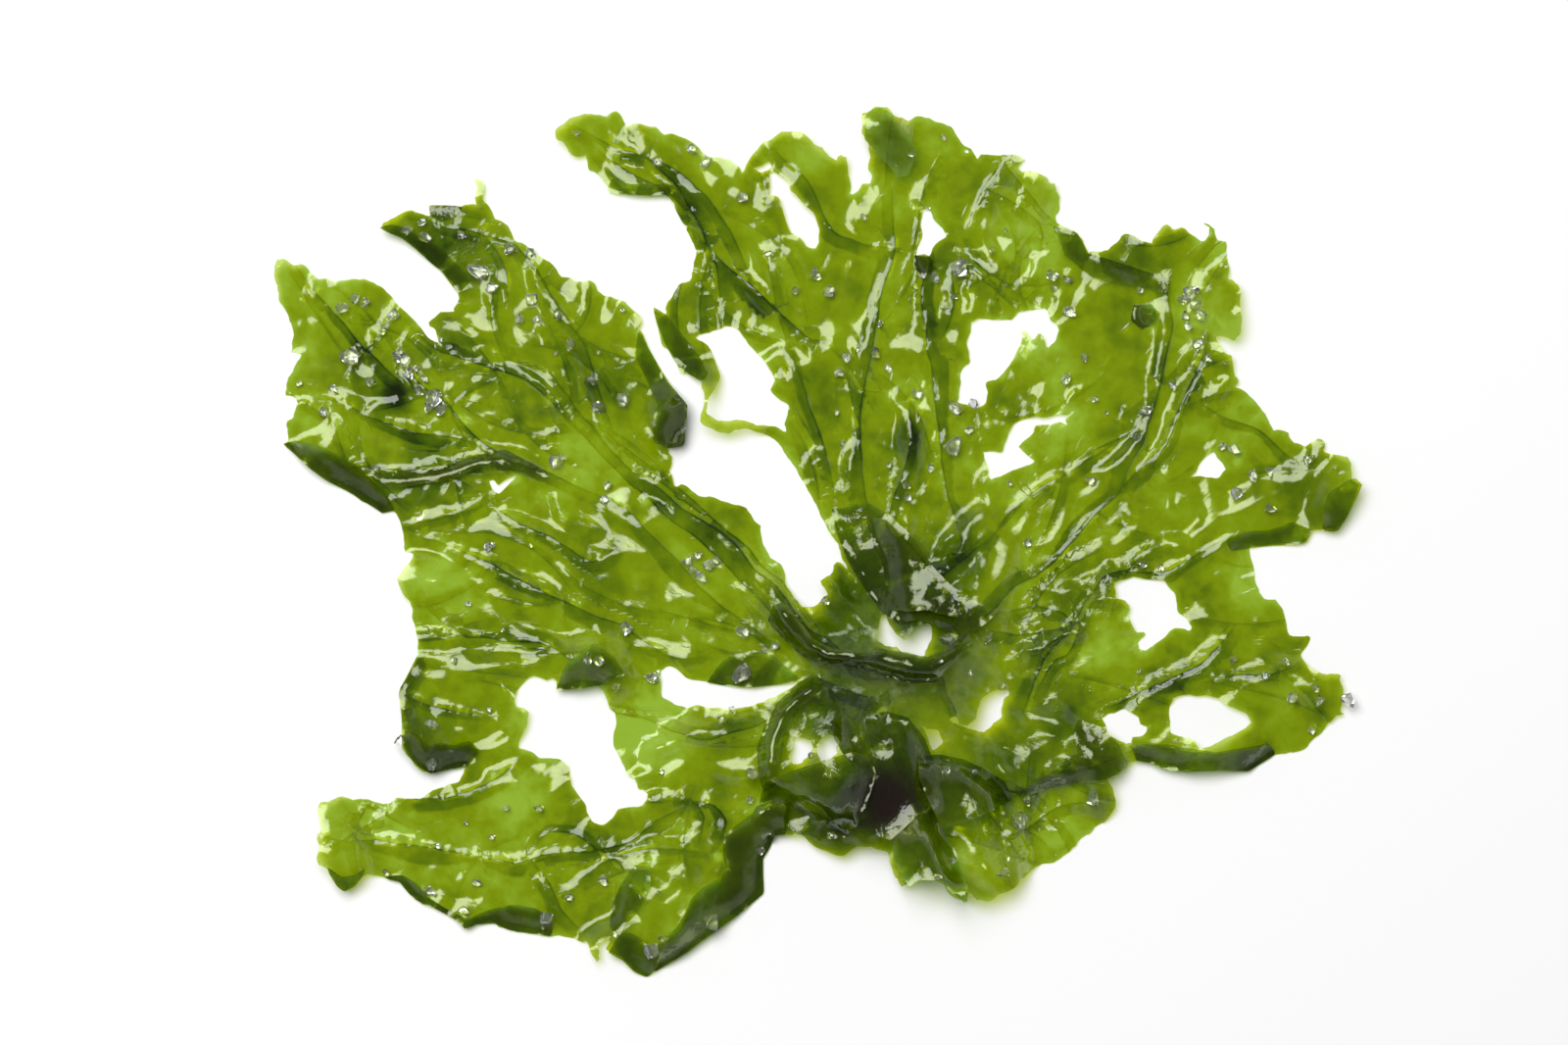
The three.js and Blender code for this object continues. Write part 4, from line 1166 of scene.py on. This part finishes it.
def rampOf(tree, place, factor, stops):
    ramp = node(tree, "ShaderNodeValToRGB", place)
    while len(ramp.color_ramp.elements) < len(stops):
        ramp.color_ramp.elements.new(0.5)
    for element, (position, colour) in zip(ramp.color_ramp.elements, stops):
        element.position = position
        element.color = (*colour, 1)
    tree.links.new(factor, ramp.inputs["Fac"])
    return ramp.outputs["Color"]


def filmMarks():  # how deep the green is, with painted shade at creases and a painted highlight at the rim, where the stem stains it, and the fine relief
    tree = bpy.data.node_groups.new("filmMarks", "ShaderNodeTree")
    for name in ("Depth", "Patchiness", "Crease Depth"):
        tree.interface.new_socket(name, in_out="INPUT", socket_type="NodeSocketFloat")
    for name in ("Depth", "Stem", "Height"):
        tree.interface.new_socket(name, in_out="OUTPUT", socket_type="NodeSocketFloat")
    given = node(tree, "NodeGroupInput", (-1300, 0))
    out = node(tree, "NodeGroupOutput", (1500, 0))
    where = node(tree, "ShaderNodeTexCoord", (-1300, -300)).outputs["Object"]

    # patches of deeper and paler green
    broad = blend(tree, (-500, 200), "SUBTRACT", noiseOf(tree, (-700, 200), where, 80, 3), 0.5)
    fine = blend(tree, (-500, 0), "SUBTRACT", noiseOf(tree, (-700, 0), where, 420, 4, 0.6), 0.5)
    patchy = blend(tree, (-300, 100), "ADD", broad, blend(tree, (-400, 0), "MULTIPLY", fine, 0.5))
    patchy = blend(tree, (-200, 100), "MULTIPLY", patchy, given.outputs["Patchiness"])
    # painted shade: the green deepens where the film stands steep or is pinched, partly for film stacked
    # in the crease
    creased = attributeOf(tree, (-700, -200), "crease")
    creased = blend(tree, (-400, -200), "MULTIPLY", creased, given.outputs["Crease Depth"])
    # paler within 0.9 mm of the margin: thinner film there, partly a painted highlight where the edge
    # catches the light
    atRim = spread(tree, (-500, -400), attributeOf(tree, (-700, -400), "rim"), 0.0, 0.9, -0.18, 0.0)
    # paler and darker places in the green, some pale ones a painted highlight
    thick = attributeOf(tree, (-700, 400), "thick")

    # the stem's purple brown, a soft ball round the holdfast
    stemMap = node(tree, "ShaderNodeMapping", (-700, -600))
    stemX, stemY = toPlane([look["stemPlace"]])[0] * toMetres / look["stemReach"]
    stemMap.inputs["Location"].default_value = (-stemX, -stemY, 0)
    stemMap.inputs["Scale"].default_value = (1 / look["stemReach"], 1 / look["stemReach"], 0)
    tree.links.new(where, stemMap.inputs["Vector"])
    ball = node(tree, "ShaderNodeTexGradient", (-500, -600), gradient_type="SPHERICAL")
    tree.links.new(stemMap.outputs["Vector"], ball.inputs["Vector"])
    stem = blend(tree, (-300, -600), "MULTIPLY", ball.outputs["Fac"], 1.4, clamp=True)
    stained = blend(tree, (300, -100), "MULTIPLY", stem, look["stemPlus"])

    # a crease: a dark line of painted shade, doubled film on one side of it and a raised crest
    across = attributeOf(tree, (-1100, 700), "across")
    past = attributeOf(tree, (-1100, 900), "past")
    strength = attributeOf(tree, (-1100, 1100), "line")
    off = blend(tree, (-900, 700), "ABSOLUTE", across, 0.0)
    line = spread(tree, (-700, 700), off, 0.04, 0.17, look["linePlus"], 0.0)
    line = blend(tree, (-500, 700), "MULTIPLY", line, strength)
    onFold = spread(tree, (-700, 900), across, -0.05, 0.12, 0.0, look["doubledPlus"])
    beforeEdge = spread(tree, (-700, 1100), past, -0.1, 0.2, 1.0, 0.0)
    doubled = blend(tree, (-500, 900), "MULTIPLY", onFold, beforeEdge)
    doubled = blend(tree, (-300, 900), "MULTIPLY", doubled, strength)
    crest = spread(tree, (-700, 500), off, 0.0, 0.5, look["crestHeight"], 0.0)
    crest = blend(tree, (-500, 500), "MULTIPLY", crest, strength)

    depth = given.outputs["Depth"]
    for step, part in enumerate((patchy, creased, atRim, stained, thick, line, doubled)):
        depth = blend(tree, (150 * step, 200), "ADD", depth, part, clamp=step > 2)

    # small waves and rare pimples, in millimetres
    fanned = node(tree, "ShaderNodeUVMap", (-1100, -900), uv_map="fan").outputs["UV"]
    waves = noiseOf(tree, (-700, -1200), fanned, look["waveScale"], 3, 0.6, "2D")
    pimples = node(tree, "ShaderNodeTexVoronoi", (-700, -900), feature="F1", voronoi_dimensions="2D")
    pimples.inputs["Scale"].default_value = look["pimpleScale"]
    tree.links.new(fanned, pimples.inputs["Vector"])
    dot = spread(tree, (-500, -900), pimples.outputs["Distance"], 0.2, 0.06, 0.0, 1.0)
    rare = spread(tree, (-500, -1100), pimples.outputs["Color"], 0.72, 0.76, 0.0, 1.0)
    dot = blend(tree, (-300, -900), "MULTIPLY", dot, rare)
    dot = blend(tree, (-100, -900), "MULTIPLY", dot, look["pimpleHeight"])
    height = blend(tree, (-300, -1200), "MULTIPLY", waves, look["waveHeight"])
    for step, part in enumerate((dot, crest)):
        height = blend(tree, (200 * step, -1200), "ADD", height, part)

    for name, value in (("Depth", depth), ("Stem", stem), ("Height", height)):
        tree.links.new(value, out.inputs[name])
    return tree


def filmMaterial(name, marksTree, depth):  # see-through film with a wet gloss
    material = bpy.data.materials.new(name)
    material.use_nodes = True
    tree = material.node_tree
    tree.nodes.clear()
    out = node(tree, "ShaderNodeOutputMaterial", (900, 0))
    marks = node(tree, "ShaderNodeGroup", (-500, 0), node_tree=marksTree)
    marks.inputs["Depth"].default_value = depth
    marks.inputs["Patchiness"].default_value = look["patchiness"]
    marks.inputs["Crease Depth"].default_value = look["creaseDepth"]
    tint = rampOf(tree, (-200, 200), marks.outputs["Depth"], [
        (0.08, look["pale"]), (0.38, look["plain"]), (0.7, look["deep"]), (1.0, look["darkest"]),
    ])
    body = rampOf(tree, (-200, -100), marks.outputs["Depth"], [
        (0.05, look["bodyPale"]), (0.3, look["bodyPlain"]), (0.9, look["bodyDeep"]),
    ])
    stained = node(tree, "ShaderNodeMix", (100, -100), data_type="RGBA")
    stained.inputs["B"].default_value = (*look["stem"], 1)
    bump = node(tree, "ShaderNodeBump", (100, -400))
    bump.inputs["Strength"].default_value = 1.0
    bump.inputs["Distance"].default_value = toMetres  # the group's heights are in millimetres
    gloss = node(tree, "ShaderNodeBsdfPrincipled", (350, -100))
    for name, value in (
        ("Roughness", look["roughness"]), ("IOR", look["bend"]), ("Specular IOR Level", 1.0),
        ("Coat Weight", 1.0), ("Coat Roughness", look["coatRoughness"]),
    ):
        gloss.inputs[name].default_value = value
    clear = node(tree, "ShaderNodeBsdfTransparent", (350, 200))
    mix = node(tree, "ShaderNodeMixShader", (650, 0))
    mix.inputs[0].default_value = look["clear"]
    for start, end in (
        (marks.outputs["Stem"], stained.inputs["Factor"]), (body, stained.inputs["A"]),
        (marks.outputs["Height"], bump.inputs["Height"]),
        (stained.outputs["Result"], gloss.inputs["Base Color"]),
        (bump.outputs["Normal"], gloss.inputs["Normal"]),
        (bump.outputs["Normal"], gloss.inputs["Coat Normal"]),
        (tint, clear.inputs["Color"]), (gloss.outputs[0], mix.inputs[1]),
        (clear.outputs[0], mix.inputs[2]), (mix.outputs[0], out.inputs["Surface"]),
    ):
        tree.links.new(start, end)
    return material


marksTree = filmMarks()
for piece, depth in ((blade, look["bladeDepth"]), (foldPiece, look["foldDepth"])):
    piece.data.materials.append(filmMaterial(piece.name + "Film", marksTree, depth))
    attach(piece, "root")
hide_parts("frond")


salt = {  # coarse grains on the film, in millimetres
    "grainSize": 1.0,  # scales every grain
    "typical": 1.95, "large": 3.2, "small": 1.1,
    "sunk": 0.22,  # the share of a grain that sits in the wet film
    "tilt": 0.5,  # radians
    "area": [(300, 980), (1370, 130)],  # pixels between which the scattered ones fall
    "scattered": 70, "shapes": 8, "corners": 15, "seed": 5,
    "roughness": 0.03, "bend": 1.45, "clearness": 0.95,
}
grainPixels = [
    (431, 227), (418, 236), (434, 243), (502, 293), (470, 240), (540, 258), (519, 254), (362, 305),
    (371, 308), (402, 321), (391, 338), (350, 315), (407, 361), (414, 368), (424, 376), (433, 386),
    (450, 420), (330, 420), (341, 397), (378, 390), (567, 322), (582, 352), (604, 385), (636, 408),
    (612, 417), (529, 325), (543, 305), (548, 325), (615, 510), (620, 495), (567, 470), (602, 671),
    (612, 674), (639, 640), (629, 700), (665, 691), (736, 735), (441, 738), (810, 297), (846, 296),
    (831, 280), (783, 258), (670, 165), (706, 153), (720, 166), (759, 201), (862, 365), (857, 380),
    (894, 360), (936, 402), (906, 376), (993, 413), (953, 283), (943, 281), (1090, 285), (1074, 279),
    (1092, 318), (1106, 365), (1087, 387), (926, 495), (925, 508), (949, 478), (990, 440),
    (1007, 650), (1210, 322), (1222, 350), (1232, 365), (1196, 393), (1168, 418), (1158, 445),
    (1259, 458), (1246, 455), (1278, 484), (1295, 482), (1262, 502), (1296, 520), (1336, 470),
    (1341, 703), (1345, 715), (1318, 711), (1310, 675), (1290, 690), (1167, 575), (1184, 580),
    (1112, 490), (1049, 553), (758, 645), (843, 612), (410, 755), (500, 558), (581, 914),
    (616, 898), (767, 789), (765, 816), (777, 827), (627, 954), (678, 956), (776, 868), (1047, 816),
    (965, 787), (1022, 888), (441, 778), (550, 823), (474, 930), (440, 909), (558, 935), (447, 862),
    (487, 902), (405, 365), (419, 381), (428, 398), (446, 401), (437, 415), (701, 571), (712, 566),
    (722, 577), (716, 588), (706, 582), (731, 571), (1207, 306), (1219, 311), (1225, 322),
    (1212, 333), (1228, 340),
]
largeGrainPixels = [
    (488, 276), (440, 408), (359, 362), (757, 688), (975, 413), (980, 275), (975, 455), (969, 650),
    (1215, 300), (1374, 715), (665, 968), (729, 940), (1114, 812), (1041, 837), (757, 687),
]


def grainTemplates():  # broken crystals: flat faces round a few knocked corners
    rng = np.random.default_rng(salt["seed"])
    shapes = []
    for number in range(salt["shapes"]):
        corners = rng.normal(size=(salt["corners"], 3))
        corners /= np.linalg.norm(corners, axis=1)[:, None]
        corners *= rng.uniform(0.4, 0.58, (len(corners), 1))
        shape = bmesh.new()
        for corner in corners * [1.0, 0.8, 0.62]:
            shape.verts.new(corner * toMetres)
        hull = bmesh.ops.convex_hull(shape, input=shape.verts)
        spare = [item for item in hull["geom_interior"] if isinstance(item, bmesh.types.BMVert)]
        bmesh.ops.delete(shape, geom=spare, context="VERTS")
        bmesh.ops.recalc_face_normals(shape, faces=shape.faces)
        mesh = bpy.data.meshes.new(f"grainShape{number}")
        shape.to_mesh(mesh)
        shape.free()
        shapes.append(newObject(mesh.name, mesh))
    return shapes


def grainPlaces(tree):  # where each grain sits, and how large it is
    rng = np.random.default_rng(salt["seed"] + 1)
    ordinary = toPlane(grainPixels)
    large = toPlane(largeGrainPixels)
    low, high = toPlane(salt["area"])
    tries = rng.uniform(low, high, (4000, 2))
    allowed = isOnFilm(tries, toPlane(margin), [toPlane(hole) for hole in tears.values()])
    crowd = np.clip(smoothNoise(tries, 14, 3) * 1.6 + 0.3, 0.05, 1)
    allowed &= rng.uniform(size=len(tries)) < crowd
    scattered = tries[allowed][:salt["scattered"]]
    flat = np.vstack([ordinary, large, scattered])
    sizes = np.concatenate([
        salt["typical"] * rng.uniform(0.72, 1.2, len(ordinary)),
        salt["large"] * rng.uniform(0.85, 1.15, len(large)),
        salt["small"] * rng.uniform(0.6, 1.3, len(scattered)),
    ])
    heights = heightsOn(tree, flat) + sizes * 0.36 * (1 - 2 * salt["sunk"])
    heights = np.maximum(heights, 0.48 * sizes)  # clear of the table
    return np.column_stack([flat, heights]), sizes


def grainTree(shapes, paint):  # a crystal on every point, turned at random
    tree = bpy.data.node_groups.new("saltGrains", "GeometryNodeTree")
    for name, kind in (("Geometry", "Geometry"), ("Grain Size", "Float"), ("Seed", "Int")):
        tree.interface.new_socket(name, in_out="INPUT", socket_type="NodeSocket" + kind)
    tree.interface.new_socket("Geometry", in_out="OUTPUT", socket_type="NodeSocketGeometry")
    given = node(tree, "NodeGroupInput", (-800, 0))
    out = node(tree, "NodeGroupOutput", (900, 0))
    choices = node(tree, "GeometryNodeJoinGeometry", (-300, -200))
    for number, template in enumerate(shapes):
        info = node(tree, "GeometryNodeObjectInfo", (-600, -200 - 160 * number))
        info.inputs["Object"].default_value = template
        info.inputs["As Instance"].default_value = True
        tree.links.new(info.outputs["Geometry"], choices.inputs["Geometry"])
    points = node(tree, "GeometryNodeMeshToPoints", (-500, 100))
    turn = node(tree, "FunctionNodeRandomValue", (-300, 400), data_type="FLOAT_VECTOR")
    turn.inputs["Min"].default_value = (-salt["tilt"], -salt["tilt"], 0)
    turn.inputs["Max"].default_value = (salt["tilt"], salt["tilt"], 6.283)
    pick = node(tree, "FunctionNodeRandomValue", (-300, 600), data_type="INT")
    pick.inputs["Min"].default_value = 0
    pick.inputs["Max"].default_value = len(shapes) - 1
    size = node(tree, "GeometryNodeInputNamedAttribute", (-500, 300), data_type="FLOAT")
    size.inputs["Name"].default_value = "size"
    scaled = blend(tree, (-300, 200), "MULTIPLY", size.outputs["Attribute"], given.outputs["Grain Size"])
    place = node(tree, "GeometryNodeInstanceOnPoints", (100, 0))
    place.inputs["Pick Instance"].default_value = True
    real = node(tree, "GeometryNodeRealizeInstances", (400, 0))
    flatFaces = node(tree, "GeometryNodeSetShadeSmooth", (550, 0))
    flatFaces.inputs["Shade Smooth"].default_value = False
    paintNode = node(tree, "GeometryNodeSetMaterial", (700, 0))
    paintNode.inputs["Material"].default_value = paint
    picked, turned = (next(socket for socket in draw.outputs if socket.enabled) for draw in (pick, turn))
    for start, end in (
        (given.outputs["Geometry"], points.inputs["Mesh"]), (given.outputs["Seed"], turn.inputs["Seed"]),
        (given.outputs["Seed"], pick.inputs["Seed"]), (points.outputs["Points"], place.inputs["Points"]),
        (choices.outputs["Geometry"], place.inputs["Instance"]), (picked, place.inputs["Instance Index"]),
        (turned, place.inputs["Rotation"]), (scaled, place.inputs["Scale"]),
        (place.outputs["Instances"], real.inputs["Geometry"]),
        (real.outputs["Geometry"], flatFaces.inputs["Geometry"]),
        (flatFaces.outputs["Geometry"], paintNode.inputs["Geometry"]),
        (paintNode.outputs["Geometry"], out.inputs["Geometry"]),
    ):
        tree.links.new(start, end)
    return tree


def saltMaterial():  # clear and colourless
    material = bpy.data.materials.new("saltCrystal")
    material.use_nodes = True
    tree = material.node_tree
    glass = tree.nodes["Principled BSDF"]
    glass.inputs["Base Color"].default_value = (1, 1, 1, 1)
    glass.inputs["Roughness"].default_value = salt["roughness"]
    glass.inputs["IOR"].default_value = salt["bend"]
    glass.inputs["Transmission Weight"].default_value = salt["clearness"]
    return material


def makeSalt(tree):
    shapes = grainTemplates()
    places, sizes = grainPlaces(tree)
    mesh = bpy.data.meshes.new("saltPlaces")
    mesh.from_pydata((places * toMetres).tolist(), [], [])
    mesh.attributes.new("size", "FLOAT", "POINT").data.foreach_set("value", sizes.astype(np.float32))
    source = newObject("saltPlaces", mesh)
    modifier = source.modifiers.new("grains", "NODES")
    modifier.node_group = grainTree(shapes, saltMaterial())
    values = {"Grain Size": salt["grainSize"], "Seed": salt["seed"]}
    for item in modifier.node_group.interface.items_tree:
        if item.in_out == "INPUT" and item.name in values:
            modifier[item.identifier] = values[item.name]
    evaluated = source.evaluated_get(bpy.context.evaluated_depsgraph_get())
    grown = bpy.data.meshes.new_from_object(evaluated)
    source.modifiers.remove(modifier)
    for spare in shapes + [source]:
        bpy.data.objects.remove(spare)
    print("salt:", len(places), "grains,", len(grown.polygons), "faces")
    return newObject("saltGrains", grown)


grains = makeSalt(BVHTree.FromPolygons(allPlace.tolist(), allFaces.tolist()))
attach(grains, "root")


studio = {  # the lamps' watts, places and sizes in metres, and the room's brightness by height
    "keyPower": 4.8, "keyPlace": (-0.34, 0.40, 1.10), "keySize": (0.75, 0.60),
    "fillPower": 14.5, "fillPlace": (-0.22, 0.34, 1.20), "fillSize": (0.80, 0.80),
    "walls": 0.36, "wallTop": 0.3, "ceiling": 0.05, "ceilingFrom": 0.55,
    "tableReach": 1.5, "tableColour": 0.9, "tableRoughness": 0.9,
}


def makeStage():
    mesh = bpy.data.meshes.new("table")
    reach = studio["tableReach"]
    corners = [(-reach, -reach, 0), (reach, -reach, 0), (reach, reach, 0), (-reach, reach, 0)]
    mesh.from_pydata(corners, [], [(0, 1, 2, 3)])
    table = newObject("table", mesh)
    paint = bpy.data.materials.new("paleTable")
    paint.use_nodes = True
    finish = paint.node_tree.nodes["Principled BSDF"].inputs
    finish["Base Color"].default_value = (*[studio["tableColour"]] * 3, 1)
    finish["Roughness"].default_value = studio["tableRoughness"]
    finish["Specular IOR Level"].default_value = 0.0
    table.data.materials.append(paint)
    table.location.z = -0.0001
    table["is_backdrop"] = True


def softBox(name):  # a lamp that faces the frond
    lamp = bpy.data.lights.new(name + "Box", "AREA")
    lamp.shape = "RECTANGLE"
    lamp.size, lamp.size_y = studio[name + "Size"]
    lamp.energy = studio[name + "Power"]
    holder = newObject(name + "Box", lamp)
    holder.location = studio[name + "Place"]
    holder.rotation_euler = (-holder.location).to_track_quat("-Z", "Y").to_euler()
    return holder


def makeView():
    camera = bpy.data.cameras.new("overhead")
    distance = view["cameraDistance"]
    width = view["imageWidth"] * pixelSize * toMetres
    camera.sensor_width = 36
    camera.lens = camera.sensor_width * distance / width
    holder = newObject("overhead", camera)
    centre = toPlane([(view["imageWidth"] / 2, view["imageHeight"] / 2)])[0] * toMetres
    holder.location = (centre[0], centre[1], distance)
    bpy.context.scene.camera = holder


makeStage()  # all of it is staging, and no part of the frond
softBox("key")
softBox("fill").visible_glossy = False  # it lights the film and the table and leaves no reflection
makeView()
world = bpy.data.worlds.new("paleRoom")
world.use_nodes = True
room = world.node_tree
direction = node(room, "ShaderNodeTexCoord", (-800, 0)).outputs["Generated"]
upward = node(room, "ShaderNodeSeparateXYZ", (-600, 0))
room.links.new(direction, upward.inputs["Vector"])
glow = spread(
    room, (-400, 0), upward.outputs["Z"], studio["wallTop"], studio["ceilingFrom"],
    studio["walls"], studio["ceiling"],
)
room.nodes["Background"].inputs["Color"].default_value = (1, 1, 1, 1)
room.links.new(glow, room.nodes["Background"].inputs["Strength"])
bpy.context.scene.world = world
scene = bpy.context.scene
scene.view_settings.view_transform = "Standard"
scene.cycles.transparent_max_bounces = 24
scene.cycles.max_bounces = 6
scene.cycles.diffuse_bounces = 3
scene.cycles.glossy_bounces = 3
scene.cycles.transmission_bounces = 5
scene.cycles.caustics_reflective = False

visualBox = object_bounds()
boxes = {"cad": cadBox, "visual": visualBox}
boxes = {key: [[float(number) for number in corner] for corner in box] for key, box in boxes.items()}
